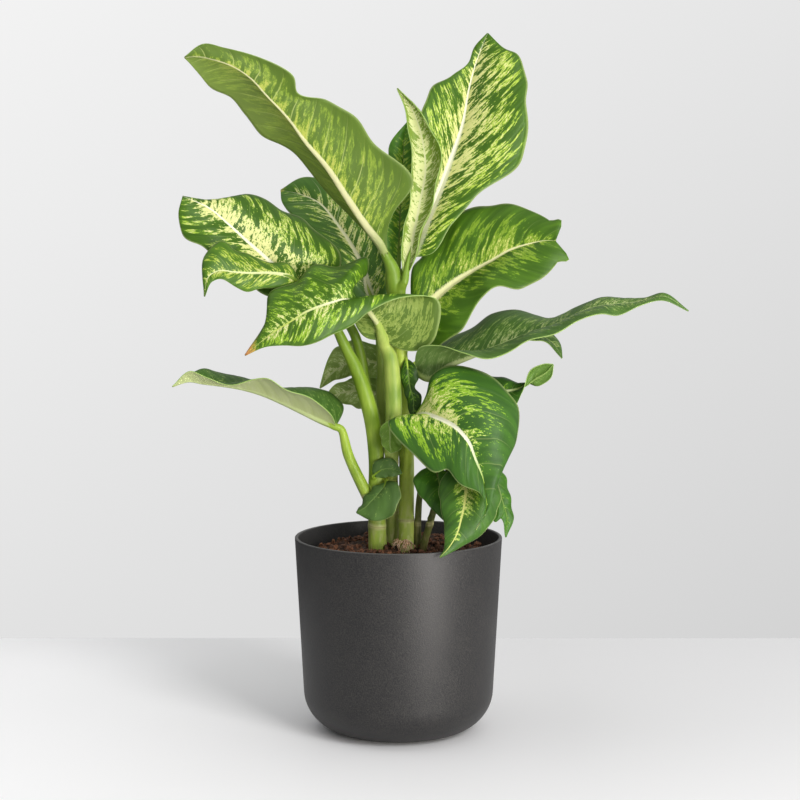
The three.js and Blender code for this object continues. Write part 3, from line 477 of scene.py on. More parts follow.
# the right cane's top is painted darker, as shade from the crown's blades
skin = cane_skin(
    "right_cane_skin", "#93AF38", "#C3D85C", "#CDD58A", scars, painted_top_shade=(330, 395, "#5A7A22")
)
make_cane("stem_right", skin, scars, [
    stalk("leaf_top_left",
        [(7, -3, 104, 6.4), (7, -3, 155, 6.6), (7, 2, 200, 6.6), (7, 6, 234, 6.6),
         (6, 6, 254, 6.2), (4, 4, 278, 5.6), (4, 2, 304, 5), (2, 1, 329, 5.6), (-1, 0, 352, 7.2),
         (-2, 0, 373, 7.6), (-4, -1, 389, 7.4), (-5, -2.5, 398, 6.4), (-7, -4.5, 404, 5.4)],
        (-10, -7, 410), (-15, -12, 420), (-27, -24, 436), 4.6, lead=3),
    stalk("leaf_top_right",
        [(-3, 1, 373, 6), (4, 4, 394, 4)],
        (11, 6, 411), (15, 9, 420), (23, 15, 438), 3.2, lead=8),
    stalk("leaf_new_rolled",
        [(0, -2, 373, 6), (2, -4, 385, 5)],
        (6, -6, 394), (8, -3, 406), (13, -1, 429), 3.4, lead=5),
    stalk("leaf_top_back",
        [(-4, 5, 373, 4.6), (-2, 9, 392, 3.4)],
        (0, 14, 406), (0, 18, 416), (1, 26, 438), 2.4, lead=5),
    stalk("leaf_right_middle",
        [(1, 2, 337, 4.6), (6, 7, 351, 3.6)],
        (13, 10, 359), (22, 10, 366), (35, 10, 377), 3, lead=6),
    stalk("leaf_right_long",
        [(3, 3, 290, 4), (6, 3, 311, 3)],
        (15, -2, 313), (26, -8, 306), (42, -13, 317), 2.6, lead=4),
    stalk("leaf_right_under",
        [(3, 4, 300, 3.4), (11, 14, 314, 2.8), (27, 22, 322, 2.4)],
        (55, 26, 327), (66, 26, 332), (85, 24, 339), 2),
    stalk("leaf_front_right",
        [(7, 3, 219, 4.6), (9, -6, 243, 4), (10, -16, 261, 3.4)],
        (11, -26, 273), (22, -34, 277), (35, -44, 275), 3, lead=5),
    stalk("leaf_right_twisted",
        [(7, 6, 243, 4), (16, 7, 264, 3)],
        (35, 2, 280), (48, 2, 285), (68, 0, 291), 2.2),
    stalk("leaf_behind_right",
        [(3, 5, 304, 4), (5, 16, 328, 3.2)],
        (11, 28, 348), (19, 46, 368), (33, 72, 391), 2.6),
    stalk("leaf_behind_low",
        [(7, 5, 210, 4.4), (9, 12, 225, 3.2)],
        (11, 20, 241), (20, 36, 252), (35, 62, 260), 2.4, lead=5),
    stalk("leaf_inner_dark",
        [(4, 1, 318, 3)],
        (7, -5, 322), (8, -9, 316), (9, -11, 307), 1.5, lead=3),
])
scars = (180,)
skin = cane_skin("shoot_cane_skin", "#44501F", "#6E7A3A", "#75724A", scars)
make_cane("stem_shoot", skin, scars, [
    stalk("leaf_over_rim",
        [(21, -3, 113, 3.4), (21, -4, 155, 3.4), (27, -9, 180, 3), (33, -13, 202, 2.8),
         (40, -17, 222, 2.6), (45, -27, 235, 2.4)],
        (47, -42, 236), (52, -50, 229), (56, -58, 219), 2.2, lead=4),
    stalk("leaf_low_dark",
        [(18, 2, 112, 3.2), (17, 2, 154, 3.2), (17, 0, 183, 3), (19, -5, 208, 2.7),
         (25, -13, 228, 2.4)],
        (31, -22, 232), (33, -26, 226), (35, -32, 217), 1.9, lead=3),
    stalk("leaf_low_right",
        [(27, -11, 184, 2.8), (36, -12, 202, 2.6), (50, -18, 220, 2.3), (64, -24, 235, 2.1)],
        (74, -30, 237), (79, -34, 229), (84, -40, 216), 1.8, lead=5),
])

# ---- Roots and dry sheath ----------------------------------------------------------------------
# Short air roots that dried before they reached the mix curl over the foot of the right cane, and
# higher up a scrap of a dead leaf's sheath still clasps it. Papery and brown.

ROOT_CANE = (5, -3, 165)  # the middle of the cane where the roots leave it
ROOT_GIRTH = 6.6
ROOT_COUNT = 38
SHEATH_MIDDLE = (3.4, 1.8)
SHEATH_GIRTH = 5.4
SHEATH_HEIGHTS = (306, 317)
SHEATH_ARC = (-100, 20)  # degrees round the cane, from +X


def dry_fibre(name, dark, pale):
    """Dead plant tissue: matt, straw to brown, streaked along its length."""
    material, tree = new_material(name)
    place = add(tree, "TexCoord").outputs["Object"]
    # streaks of 1.4 mm, four times as long
    drawn = add(tree, "Mapping", {"Vector": place, "Scale": (1.0, 1.0, 0.25)})
    streak = add(tree, "TexNoise", {"Vector": drawn, "Scale": 700.0, "Detail": 3.0})
    tone = add(tree, "MapRange", {0: streak, 1: 0.35, 2: 0.65, 3: 0.0, 4: 1.0})
    colour = add(tree, "Mix", {0: tone, 6: linear(dark), 7: linear(pale)}, data_type="RGBA")
    bump = add(tree, "Bump", {"Strength": 0.5, "Distance": 0.0003, "Height": streak})
    finish = {"Base Color": colour, "Roughness": 0.75, "Normal": bump}
    add(tree, "OutputMaterial", {0: add(tree, "BsdfPrincipled", finish)})
    return material


def make_roots():
    """Bezier strands with a round section, each from the cane's skin out, down and back."""
    draw = random.Random(5)
    strands = []
    for _ in range(ROOT_COUNT):
        turn = math.radians(draw.uniform(-180, -30))
        out = Vector((math.cos(turn), math.sin(turn), 0))
        aside = Vector((-out.y, out.x, 0)) * draw.uniform(-1, 1)
        rise = Vector((0, 0, draw.uniform(-2.5, 2)))
        start = Vector(ROOT_CANE) + out * (ROOT_GIRTH - 0.6) + rise
        drop = draw.uniform(2, 10)
        middle = start + out * draw.uniform(1.4, 3) + aside * 4 - Vector((0, 0, drop * 0.3))
        end = start + out * draw.uniform(0.5, 4) + aside * 9 - Vector((0, 0, drop))
        bpy.ops.object.select_all(action="DESELECT")
        bpy.ops.curve.primitive_bezier_curve_add()
        strand = bpy.context.object
        spline = strand.data.splines[0]
        spline.bezier_points.add(1)
        for point, place, size in zip(spline.bezier_points, (start, middle, end), (1.2, 1.0, 0.4)):
            point.co = place / 1000
            point.handle_left_type = "AUTO"
            point.handle_right_type = "AUTO"
            point.radius = size
        strand.data.resolution_u = 6
        strand.data.bevel_depth = draw.uniform(0.00024, 0.00042)
        strand.data.bevel_resolution = 1
        strand.data.use_fill_caps = True
        select_only(strand)
        bpy.ops.object.convert(target="MESH")
        strands.append(strand)
    select_only(*reversed(strands))
    bpy.ops.object.join()
    roots = strands[0]
    roots.name = "dry_roots"
    bpy.ops.object.shade_smooth()
    roots.data.materials.clear()
    roots.data.materials.append(dry_fibre("dry_root", "#C08A62", "#F8DDBC"))
    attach(roots, "root")


def make_sheath():
    """A sheet rolled round the cane, its upper edge torn and flared, then thickened."""
    (x, y), (low, high), (first, last) = SHEATH_MIDDLE, SHEATH_HEIGHTS, SHEATH_ARC
    bpy.ops.object.select_all(action="DESELECT")
    bpy.ops.mesh.primitive_grid_add(x_subdivisions=28, y_subdivisions=8, size=2)
    sheath = bpy.context.object
    sheath.name = "dry_sheath"
    for vertex in sheath.data.vertices:
        turn = math.radians(first + (last - first) * (vertex.co.x + 1) / 2)
        rise = (vertex.co.y + 1) / 2
        torn = 1 - 0.45 * abs(noise.noise(Vector((turn * 4, 0.3, 0))))
        reach = SHEATH_GIRTH + 0.3 + 1.1 * rise**2 + 0.25 * math.sin(turn * 9)
        z = low + (high - low) * rise * torn
        vertex.co = Vector((x + reach * math.cos(turn), y + reach * math.sin(turn), z)) / 1000
    sheath.data.materials.append(dry_fibre("dry_leaf_sheath", "#8A6A48", "#C4AE84"))
    apply_modifier(sheath, "SOLIDIFY", thickness=0.0003, offset=0)
    select_only(sheath)
    bpy.ops.object.shade_smooth()
    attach(sheath, "root")


make_roots()
make_sheath()

# ---- Blades of the right cane's crown ----------------------------------------------------------
# The youngest leaves: two large blades spread over the plant, the newest still rolled, and a dark one
# behind. Thin leathery blades with a thick pale midrib, mottled cream where they hold no green.

BLADE_THICKNESS = 0.0006
BASE_HALF_WIDTH = 1.7  # mm by which a blade is wider than its stations, at its base
TIP_HALF_WIDTH = 0.5
ROW_STEP = 1.9  # mm along a blade, between the rows of its mesh
LARGE_BLADE = 80  # mm long, from which a blade has more columns
RIPPLE = 1.5  # mm by which the margin waves up and down
PUCKER = 0.35  # mm by which the blade rises between side veins
VEIN_STEP = 11  # mm between side veins
MARGIN_WAVES = 3.4  # from base to tip
SCALLOP = 0.022  # how far the margin swings out and in, as a share of the half's width


def leaf_skin(
    name,
    seed,
    # the mottling: how much of the blade it takes, how creamy it is, how wide the plain margin is, how
    # much more the left half, the tip's half and the strip beside the midrib have, how much the green
    # islands take from it, and how fine and how soft its spots are
    cover=0.5,
    creamy=0.4,
    margin=0.2,
    left_cover=0.0,
    outer_cover=0.0,
    beside_rib=0.4,
    islands=0.44,
    fineness=1.0,
    softness=1.0,
    # the green tissue, then the mottling from its fringe to its middle
    ground="#3C5F14",
    mid="#567E1E",
    light="#86A830",
    cream="#D6D796",
    # the midrib's width in millimetres, its colour, and another towards the tip; the side veins
    rib_width=2.4,
    rib_colour="#D9D8B0",
    rib_tip=None,
    vein=0.15,
    vein_colour="#BCCB7C",
    # a pale veil over all of it, more of it on the right half as painted light where that half turns
    # away from the lamps, and where the tip is scorched
    veil=0.0,
    right_painted_light=0.0,
    veil_and_painted_light_colour="#7C9A63",
    scorch=None,
    # gloss, and the light that comes through
    rough=0.42,
    glow=0.16,
):
    """Living blade: a waxy skin over green tissue, mottled along its side veins where the green fails,
    with a pale midrib. Lengths in the pattern are centimetres along and across the blade."""
    material, tree = new_material(name)
    vein_place = add(tree, "SeparateXYZ", {0: add(tree, "UVMap", uv_map="vein_cm")})
    share = add(tree, "SeparateXYZ", {0: add(tree, "UVMap", uv_map="share")})
    along, across = vein_place.outputs["X"], vein_place.outputs["Y"]
    sideways, onward = share.outputs["X"], share.outputs["Y"]
    reach = add(tree, "Math", {0: across}, operation="ABSOLUTE")
    half = add(tree, "Math", {0: sideways, 1: 2.0, 2: -1.0}, operation="MULTIPLY_ADD")
    edge = add(tree, "Math", {0: half}, operation="ABSOLUTE")
    is_left = add(tree, "Math", {0: half, 1: 0.0}, operation="LESS_THAN")
    deep = add(tree, "Math", {0: is_left, 1: 5.3, 2: seed}, operation="MULTIPLY_ADD")
    spread = add(tree, "CombineXYZ", {0: along, 1: reach, 2: deep})

    # green islands of 7 by 18 mm lie along the side veins; speckles of about 2 by 4 mm and flecks of
    # 0.7 by 1.3 mm mottle what is left between them
    grains = []
    spots = (6.0 * fineness, 2.5 * fineness, 1.0)
    for scale, detail in (((1.5, 0.55, 1.0), 1.0), (spots, 2.0), ((15.0, 8.0, 1.0), 1.0)):
        drawn = add(tree, "Mapping", {"Vector": spread, "Scale": scale})
        grains.append(add(tree, "TexNoise", {"Vector": drawn, "Scale": 1.0, "Detail": detail}))
    island, speckle, fleck = grains
    field = add(
        tree, "MapRange", {0: island, 1: islands - 0.04, 2: islands + 0.05, 3: -1.3, 4: 0.0}
    )
    gains = (5.4, 2.6)
    level = 2.2 * (cover - 0.5) - sum(gains) / 2
    field = add(tree, "Math", {0: field, 1: level}, operation="ADD")
    for grain, gain in zip((speckle, fleck, is_left), (*gains, left_cover)):
        field = add(tree, "Math", {0: grain, 1: gain, 2: field}, operation="MULTIPLY_ADD")

    # it keeps off the margin and the tip, gathers beside the midrib, and changes towards the tip
    brim = add(tree, "Math", {0: island, 1: -0.5, 2: edge}, operation="MULTIPLY_ADD")
    brim_start = 0.75 - 1.2 * margin
    plain = add(tree, "MapRange", {0: brim, 1: brim_start, 2: brim_start + 0.14, 3: 0.0, 4: 1.9})
    near = add(tree, "MapRange", {0: edge, 1: 0.0, 2: 0.45, 3: beside_rib, 4: 0.0})
    tip = add(tree, "MapRange", {0: onward, 1: 0.85, 2: 1.0, 3: 0.0, 4: 1.4})
    for change, way in ((plain, "SUBTRACT"), (near, "ADD"), (tip, "SUBTRACT")):
        field = add(tree, "Math", {0: field, 1: change}, operation=way)
    outer = add(tree, "MapRange", {0: onward, 1: 0.1, 2: 0.7, 3: -0.5, 4: 0.5})
    field = add(tree, "Math", {0: outer, 1: outer_cover, 2: field}, operation="MULTIPLY_ADD")

    soft = add(tree, "MapRange", {0: island, 1: 0.35, 2: 0.65, 3: 0.0, 4: 0.6})
    base = add(tree, "Mix", {0: soft, 6: linear(ground), 7: linear(mid)}, data_type="RGBA")
    fringe = add(tree, "MapRange", {0: field, 1: -0.45, 2: -0.05, 3: 0.0, 4: 0.8})
    base = add(tree, "Mix", {0: fringe, 6: base, 7: linear(mid)}, data_type="RGBA")
    paling = add(tree, "Math", {0: edge, 1: -1.3, 2: field}, operation="MULTIPLY_ADD")
    fade = add(tree, "Math", {0: fleck, 1: 1.6, 2: paling}, operation="MULTIPLY_ADD")
    start = 1.7 - 2.0 * creamy
    paled = add(tree, "MapRange", {0: fade, 1: start, 2: start + 0.5, 3: 0.0, 4: 1.0})
    mottle = add(tree, "Mix", {0: paled, 6: linear(light), 7: linear(cream)}, data_type="RGBA")
    low, high = 0.03 - 0.08 * softness, 0.03 + 0.09 * softness
    patch = add(tree, "MapRange", {0: field, 1: low, 2: high, 3: 0.0, 4: 1.0})
    base = add(tree, "Mix", {0: patch, 6: base, 7: mottle}, data_type="RGBA")
    # the veil lies evenly, and painted light pales the right half further
    if veil or right_painted_light:
        veil_and_painted_light = add(tree, "MapRange", {0: is_left, 1: 0.0, 2: 1.0, 3: veil + right_painted_light, 4: veil})
        base = add(tree, "Mix", {0: veil_and_painted_light, 6: base, 7: linear(veil_and_painted_light_colour)}, data_type="RGBA")

    # every second side vein is a thin pale line, which wanders and fades before the margin
    wander = add(tree, "Math", {0: island, 1: 0.3, 2: along}, operation="MULTIPLY_ADD")
    cycle = add(tree, "Math", {0: wander, 1: VEIN_STEP / 10}, operation="PINGPONG")
    width = add(tree, "MapRange", {0: edge, 1: 0.0, 2: 0.9, 3: 0.09, 4: 0.03})
    line = add(tree, "MapRange", {0: cycle, 1: 0.0, 2: width, 3: vein, 4: 0.0})
    taper = add(tree, "MapRange", {0: edge, 1: 0.5, 2: 0.95, 3: 1.0, 4: 0.1})
    line = add(tree, "Math", {0: line, 1: taper}, operation="MULTIPLY")
    base = add(tree, "Mix", {0: line, 6: base, 7: linear(vein_colour)}, data_type="RGBA")

    # the midrib narrows to the tip, its sides are frayed, and its base is green with sap
    left_over = add(tree, "Math", {0: 1.0, 1: onward}, operation="SUBTRACT")
    taper = add(tree, "Math", {0: left_over, 1: 1.4}, operation="POWER")
    width = add(tree, "Math", {0: taper, 1: rib_width / 20, 2: 0.03}, operation="MULTIPLY_ADD")
    ratio = add(tree, "Math", {0: reach, 1: width}, operation="DIVIDE")
    ratio = add(tree, "Math", {0: fleck, 1: -0.9, 2: ratio}, operation="MULTIPLY_ADD")
    rib = add(tree, "MapRange", {0: ratio, 1: 0.35, 2: 0.75, 3: 1.0, 4: 0.0})
    ending = add(tree, "MapRange", {0: onward, 1: 0.86, 2: 0.98, 3: 1.0, 4: 0.3})
    rib = add(tree, "Math", {0: rib, 1: ending}, operation="MULTIPLY")
    sap = add(tree, "MapRange", {0: onward, 1: 0.0, 2: 0.14, 3: 0.85, 4: 0.0})
    core = add(tree, "Mix", {0: sap, 6: linear(rib_colour), 7: linear("#8FA844")}, data_type="RGBA")
    if rib_tip:
        late = add(tree, "MapRange", {0: onward, 1: 0.45, 2: 0.7, 3: 0.0, 4: 1.0})
        core = add(tree, "Mix", {0: late, 6: core, 7: linear(rib_tip)}, data_type="RGBA")
    base = add(tree, "Mix", {0: rib, 6: base, 7: core}, data_type="RGBA")

    # where the two skins meet, the blade ends in a thin pale line: its pale margin, with a painted
    # highlight where the edge catches the light
    margin_and_painted_highlight = add(tree, "MapRange", {0: edge, 1: 0.965, 2: 0.99, 3: 0.0, 4: 0.6})
    base = add(tree, "Mix", {0: margin_and_painted_highlight, 6: base, 7: linear("#A9BC74")}, data_type="RGBA")
    if scorch:
        first, brown = scorch
        burnt = add(tree, "Math", {0: speckle, 1: 0.08, 2: onward}, operation="MULTIPLY_ADD")
        for start, shade in ((first - 0.02, "#B9AE48"), (first, brown)):
            singe = add(tree, "MapRange", {0: burnt, 1: start, 2: start + 0.035, 3: 0.0, 4: 1.0})
            base = add(tree, "Mix", {0: singe, 6: base, 7: linear(shade)}, data_type="RGBA")

    groove = add(tree, "MapRange", {0: cycle, 1: 0.0, 2: 0.3, 3: 0.0, 4: 1.0})
    relief = add(tree, "Math", {0: fleck, 1: 0.25, 2: groove}, operation="MULTIPLY_ADD")
    bump = add(tree, "Bump", {"Strength": 0.45, "Distance": 0.0004, "Height": relief})
    finish = {"Base Color": base, "Roughness": rough, "Normal": bump, "Specular IOR Level": 0.25}
    skin = add(tree, "BsdfPrincipled", finish)
    through = add(tree, "BsdfTranslucent", {"Color": base, "Normal": bump})
    add(tree, "OutputMaterial", {0: add(tree, "MixShader", {0: glow, 1: skin, 2: through})})
    return material


def leaf_edge():
    """The cut thickness of a blade: a thin pale line where its skins meet, clouded every 3 mm: its pale
    margin, with a painted highlight on the edge.
    """
    material, tree = new_material("leaf_edge")
    place = add(tree, "TexCoord").outputs["Object"]
    cloud = add(tree, "TexNoise", {"Vector": place, "Scale": 300.0})
    shades = {0: cloud, 6: linear("#7FA548"), 7: linear("#A9C070")}
    colour = add(tree, "Mix", shades, data_type="RGBA")
    skin = add(tree, "BsdfPrincipled", {"Base Color": colour, "Roughness": 0.45})
    add(tree, "OutputMaterial", {0: skin})
    return material


LEAF_EDGE = leaf_edge()


def glide(knots, points, at):
    """Smooth value between stations: a cubic through points at the given knots, with a round start."""
    last = len(points) - 1
    i = 0
    while i < last - 1 and at > knots[i + 1]:
        i += 1

    def slope(k):
        return (points[k + 1] - points[k]) / (knots[k + 1] - knots[k])

    def tangent(k):
        if k == last:
            return slope(last - 1)
        if k == 0:
            return 2 * slope(0) - tangent(1)
        before = knots[k] - knots[k - 1]
        after = knots[k + 1] - knots[k]
        return (slope(k - 1) * after + slope(k) * before) / (before + after)

    span = knots[i + 1] - knots[i]
    t = (at - knots[i]) / span
    value = points[i] * (1 + 2 * t) * (1 - t) ** 2 + tangent(i) * span * t * (1 - t) ** 2
    return value + points[i + 1] * t * t * (3 - 2 * t) + tangent(i + 1) * span * t * t * (t - 1)


def make_blade(name, rib, upper, under, stations, arch=0.1):
    """A flat sheet drawn to the blade's stations, given its thickness, and its midrib swelled below by
    about rib. A station is (midrib, left edge, right edge), seen from above with the tip ahead. The
    stalk gave the first three places on the midrib, so two stations of edges alone come first, and the
    tip last. Arch is how far each half is arched, as a share of its width."""
    base, heading, beyond = midrib_starts[name]
    lines = [(base, base, base), (heading, *stations[0]), (beyond, *stations[1])]
    lines += stations[2:-1] + [stations[-1] * 3]
    ribs, lefts, rights = ([Vector(place) for place in line] for line in zip(*lines))
    knots = [0.0]
    for here, there in zip(ribs, ribs[1:]):
        knots.append(knots[-1] + (there - here).length)
    total = knots[-1]
    rows = max(12, round(total / ROW_STEP))
    columns = 32 if total > LARGE_BLADE else 24
    phase = 0.21 * len(lines)  # so that no two blades wave alike
    bpy.ops.object.select_all(action="DESELECT")
    bpy.ops.mesh.primitive_grid_add(x_subdivisions=columns, y_subdivisions=rows, size=2)
    blade = bpy.context.object
    blade.name = name + "_blade"
    frames = []
    for row in range(rows + 1):
        at = total * row / rows
        s = row / rows
        centre = glide(knots, ribs, at)
        along = glide(knots, ribs, min(at + 1, total)) - glide(knots, ribs, max(at - 1, 0))
        along.normalize()
        inward = min(max(at, 0.03 * total), 0.97 * total)
        across = glide(knots, rights, inward) - glide(knots, lefts, inward)
        across = (across - along * across.dot(along)).normalized()
        half_width = BASE_HALF_WIDTH + (TIP_HALF_WIDTH - BASE_HALF_WIDTH) * s
        sides = {}
        for side in (-1, 1):
            edge = glide(knots, lefts if side < 0 else rights, at) + across * side * half_width
            turns = MARGIN_WAVES * s + phase + (0.3 if side < 0 else 0)
            scallop = SCALLOP * math.sin(2 * math.pi * (1.7 * turns + 0.4)) * math.sin(math.pi * s)
            reach = (edge - centre) * (1 + scallop)
            up = (reach.cross(along) * side).normalized()
            waves = RIPPLE * math.sin(2 * math.pi * turns) * math.sin(math.pi * s)
            sides[side] = (reach, up, waves)
        frames.append((at, s, centre, sides))
    places = []
    for vertex in blade.data.vertices:
        row = round((vertex.co.y + 1) / 2 * rows)
        side = -1 if vertex.co.x < -1e-6 else 1
        t = abs(vertex.co.x) ** 1.25
        at, s, centre, sides = frames[row]
        reach, up, waves = sides[side]
        width = reach.length
        vein = at - width * (0.75 * t + 0.3 * t**3)
        bulge = 4 * t * (1 - t)
        quilt = PUCKER * math.cos(2 * math.pi * vein / VEIN_STEP) * bulge * math.sin(math.pi * s)
        lift = arch * width * bulge + waves * t * t + quilt
        vertex.co = (centre + reach * t + up * lift) / 1000
        places.append((vein / 10, side * width * t / 10, 0.5 + 0.5 * side * t, s))
    mesh = blade.data
    while mesh.uv_layers:
        mesh.uv_layers.remove(mesh.uv_layers[0])
    vein_cm = mesh.uv_layers.new(name="vein_cm")
    share = mesh.uv_layers.new(name="share")
    for loop in mesh.loops:
        vein, off, half, s = places[loop.vertex_index]
        vein_cm.data[loop.index].uv = (vein, off)
        share.data[loop.index].uv = (half, s)
    mesh.update()
    normals = [v.normal.copy() for v in mesh.vertices]
    for finish in (upper, under, LEAF_EDGE):
        mesh.materials.append(finish)
    sheet = len(normals)
    skins = {"material_offset": 1, "material_offset_rim": 2}
    apply_modifier(blade, "SOLIDIFY", thickness=BLADE_THICKNESS, offset=0, **skins)
    for index, (normal, (_, off, _, s)) in enumerate(zip(normals, places)):
        depth = TIP_HALF_WIDTH + (1.35 * rib - TIP_HALF_WIDTH) * (1 - s) ** 1.6
        swell = max(0.0, 1 - (abs(off) * 10 / (depth * 0.75)) ** 2)
        blade.data.vertices[index + sheet].co -= normal * depth * 0.8 * math.sqrt(swell) / 1000
        blade.data.vertices[index].co -= normal * depth * 0.12 * swell / 1000
    select_only(blade)
    bpy.ops.object.shade_smooth()
    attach(blade, "root")
    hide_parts(name)


crown_upper = leaf_skin("crown_blade_upper", 1.0, cover=0.6, creamy=0.4)
crown_under = leaf_skin(
    "crown_blade_under", 1.0,
    cover=0.52, creamy=0.3, margin=0.22, left_cover=-0.1, beside_rib=1.0, fineness=0.7,
    softness=5.0,
    ground="#4E6E1A", mid="#628321", light="#8CA834", cream="#BFC45A",
    rib_width=6.4, rib_colour="#E1DFAE", vein=0.9, vein_colour="#BBC872", veil=0.15,
    # painted light pales the lower, right half, which turns away from the lamps
    right_painted_light=0.37, veil_and_painted_light_colour="#9BB05A", rough=0.5, glow=0.38,
)
make_blade("leaf_top_left", 3.6, crown_upper, crown_under, [
    ((-11, -8, 425), (-21, -4, 425)),
    ((-6, -16, 446), (-36, 0, 440)),
    ((-42, -38, 458), (11, -22, 473), (-54, -10, 460)),
    ((-59, -54, 484), (-21, -42, 505), (-78, -26, 488)),
    ((-75, -68, 503), (-40, -56, 527), (-96, -40, 503)),
    ((-90, -80, 523), (-59, -68, 537), (-114, -52, 514)),
    ((-106, -90, 540), (-81, -78, 542), (-125, -64, 527)),
    ((-117, -98, 552), (-86, -88, 556), (-135, -74, 539)),
    ((-131, -104, 561), (-110, -97, 568), (-149, -84, 546)),
    ((-147, -109, 566), (-137, -105, 575), (-157, -98, 555)),
    ((-159, -111, 568), (-155, -110, 577), (-164, -108, 563)),
    ((-168, -112, 567),),
])
pale_upper = leaf_skin(
    "pale_blade_upper", 7.0,
    cover=0.66, creamy=0.56, margin=0.16, left_cover=-0.3, beside_rib=0.8, islands=0.47,
    fineness=0.85,
    light="#A6C144", cream="#DADA93",
    rib_width=13.0, rib_colour="#E4E4CA",
)
pale_under = leaf_skin(
    "pale_blade_under", 7.0,
    cover=0.7, creamy=0.4,
    ground="#54712A", mid="#637E32", light="#91A451", cream="#BFC386",
    rib_width=5.6, vein=0.3, rough=0.52, glow=0.22,
)
make_blade("leaf_top_right", 3.2, pale_upper, pale_under, [
    ((8, 5, 425), (26, 2, 413)),
    ((12, 8, 455), (44, 4, 438)),
    ((35, 26, 466), (16, 14, 489), (66, 12, 462)),
    ((46, 38, 496), (19, 22, 524), (106, 26, 494)),
    ((56, 48, 525), (27, 36, 553), (111, 36, 534)),
    ((62, 58, 557), (48, 52, 569), (111, 50, 566)),
    ((69, 64, 582), (63, 62, 582), (104, 58, 588)),
    ((74, 65, 595), (68, 65, 595), (92, 62, 594)),
    ((79, 66, 607),),
])
young_skin = leaf_skin(
    "young_blade_under", 13.0,
    cover=0.42, creamy=0.95, margin=0.3, left_cover=0.6, islands=0.4,
    ground="#90AC48", mid="#9DB752", light="#C7D780", cream="#E5E9AC",
    rib_width=1.4, rib_colour="#E6E8BA", glow=0.4,
)
make_blade("leaf_new_rolled", 1.6, young_skin, young_skin, [
    ((4, -6, 411), (13, -8, 412)),
    ((6, -8, 431), (18, -10, 433)),
    ((18, 2, 455), (10, -8, 454), (28, -10, 458)),
    ((23, 5, 483), (13, -6, 482), (35, -8, 492)),
    ((20, 6, 512), (10, -3, 511), (29, -5, 514)),
    ((13, 4, 533), (7, 0, 533), (18, -3, 532)),
    ((-1, 0, 553),),
], arch=-0.3)
dark_upper = leaf_skin(
    "dark_blade_upper", 21.0,
    cover=0.42, creamy=0.15, margin=0.3,
    ground="#568C2A", mid="#70A834", light="#B0D04C",
    rib_width=1.4, rib_colour="#748C42",
)
dark_under = leaf_skin(
    "dark_blade_under", 21.0,
    cover=0.35, creamy=0.1,
    ground="#446025", mid="#516E2D", light="#728D45", cream="#91A263",
    vein=0.35, rough=0.55,
)
make_blade("leaf_top_back", 2, dark_upper, dark_under, [
    ((-8, 14, 416), (8, 22, 420)),
    ((-13, 20, 437), (16, 30, 440)),
    ((2, 36, 468), (-14, 28, 468), (22, 40, 468)),
    ((4, 42, 495), (-9, 36, 494), (22, 46, 497)),
    ((5, 46, 514), (-5, 42, 512), (16, 48, 514)),
    ((8, 48, 528),),
])

# ---- Blades at the left -------------------------------------------------------------------------
# Broad blades that arch out to the left: one frayed at its tip, one patched with cream, a lime one
# under it, the front one with a scorched tip, and a long one that shows its pale back.

frayed_upper = leaf_skin(
    "frayed_blade_upper", 31.0,
    cover=0.54, creamy=0.5, margin=0.3, islands=0.49, fineness=0.75,
    ground="#466C29", mid="#5C8634", light="#94B43C",
    rib_width=7.5, rib_colour="#DADBB4", vein=0.4, vein_colour="#CBD0A0",
    scorch=(1.035, "#7A7466"),
)
make_blade("leaf_left_back", 2.6, frayed_upper, dark_under, [
    ((-37, 24, 376), (-7, 28, 379)),
    ((-49, 26, 404), (2, 34, 414)),
    ((-43, 42, 422), (-62, 32, 422), (-1, 46, 447)),
    ((-56, 50, 441), (-80, 40, 435), (-19, 58, 469)),
    ((-70, 58, 457), (-93, 50, 447), (-55, 66, 475)),
    ((-87, 64, 465), (-103, 60, 458), (-85, 68, 480)),
    ((-105, 66, 469),),
])
patched_upper = leaf_skin(
    "patched_blade_upper", 43.0,
    cover=0.6, creamy=0.6, margin=0.17, beside_rib=0.7, islands=0.47, fineness=0.95,
    light="#9DBB40", cream="#D9DA94",
    rib_width=6.4, rib_colour="#EEEFD0",
)
make_blade("leaf_left_upper", 2.8, patched_upper, pale_under, [
    ((-96, -13, 375), (-68, 6, 388)),
    ((-117, -26, 383), (-49, 10, 407)),
    ((-128, -16, 423), (-142, -34, 406), (-78, 14, 437)),
    ((-145, -20, 439), (-162, -36, 418), (-106, 10, 453)),
    ((-159, -23, 451), (-180, -34, 430), (-131, 2, 463)),
    ((-171, -26, 457), (-184, -32, 447), (-158, -8, 456)),
    ((-181, -28, 461),),
])
lime_upper = leaf_skin(
    "lime_blade_upper", 57.0,
    cover=0.44, creamy=0.4, margin=0.24, fineness=0.8,
    ground="#43681B", mid="#5C8222", light="#9DB33E", cream="#CACE82",
    rib_width=3.2, rib_colour="#D5DDA0",
)
make_blade("leaf_left_lower", 2.2, lime_upper, pale_under, [
    ((-93, -32, 386), (-91, -20, 401)),
    ((-111, -42, 386), (-107, -26, 405)),
    ((-123, -44, 397), (-127, -48, 383), (-124, -30, 410)),
    ((-137, -50, 398), (-140, -54, 390), (-136, -36, 416)),
    ((-149, -54, 399), (-149, -57, 393), (-150, -42, 422)),
    ((-156, -57, 395), (-154, -58, 391), (-160, -50, 411)),
    ((-160, -58, 378),),
])
centre_upper = leaf_skin(
    "centre_blade_upper", 63.0,
    cover=0.36, creamy=0.35, margin=0.2, left_cover=0.55, fineness=0.7,
    light="#89AD2F",
    rib_width=4.8, rib_colour="#ECEDC2", rib_tip="#B9C860", scorch=(0.986, "#C08650"),
)
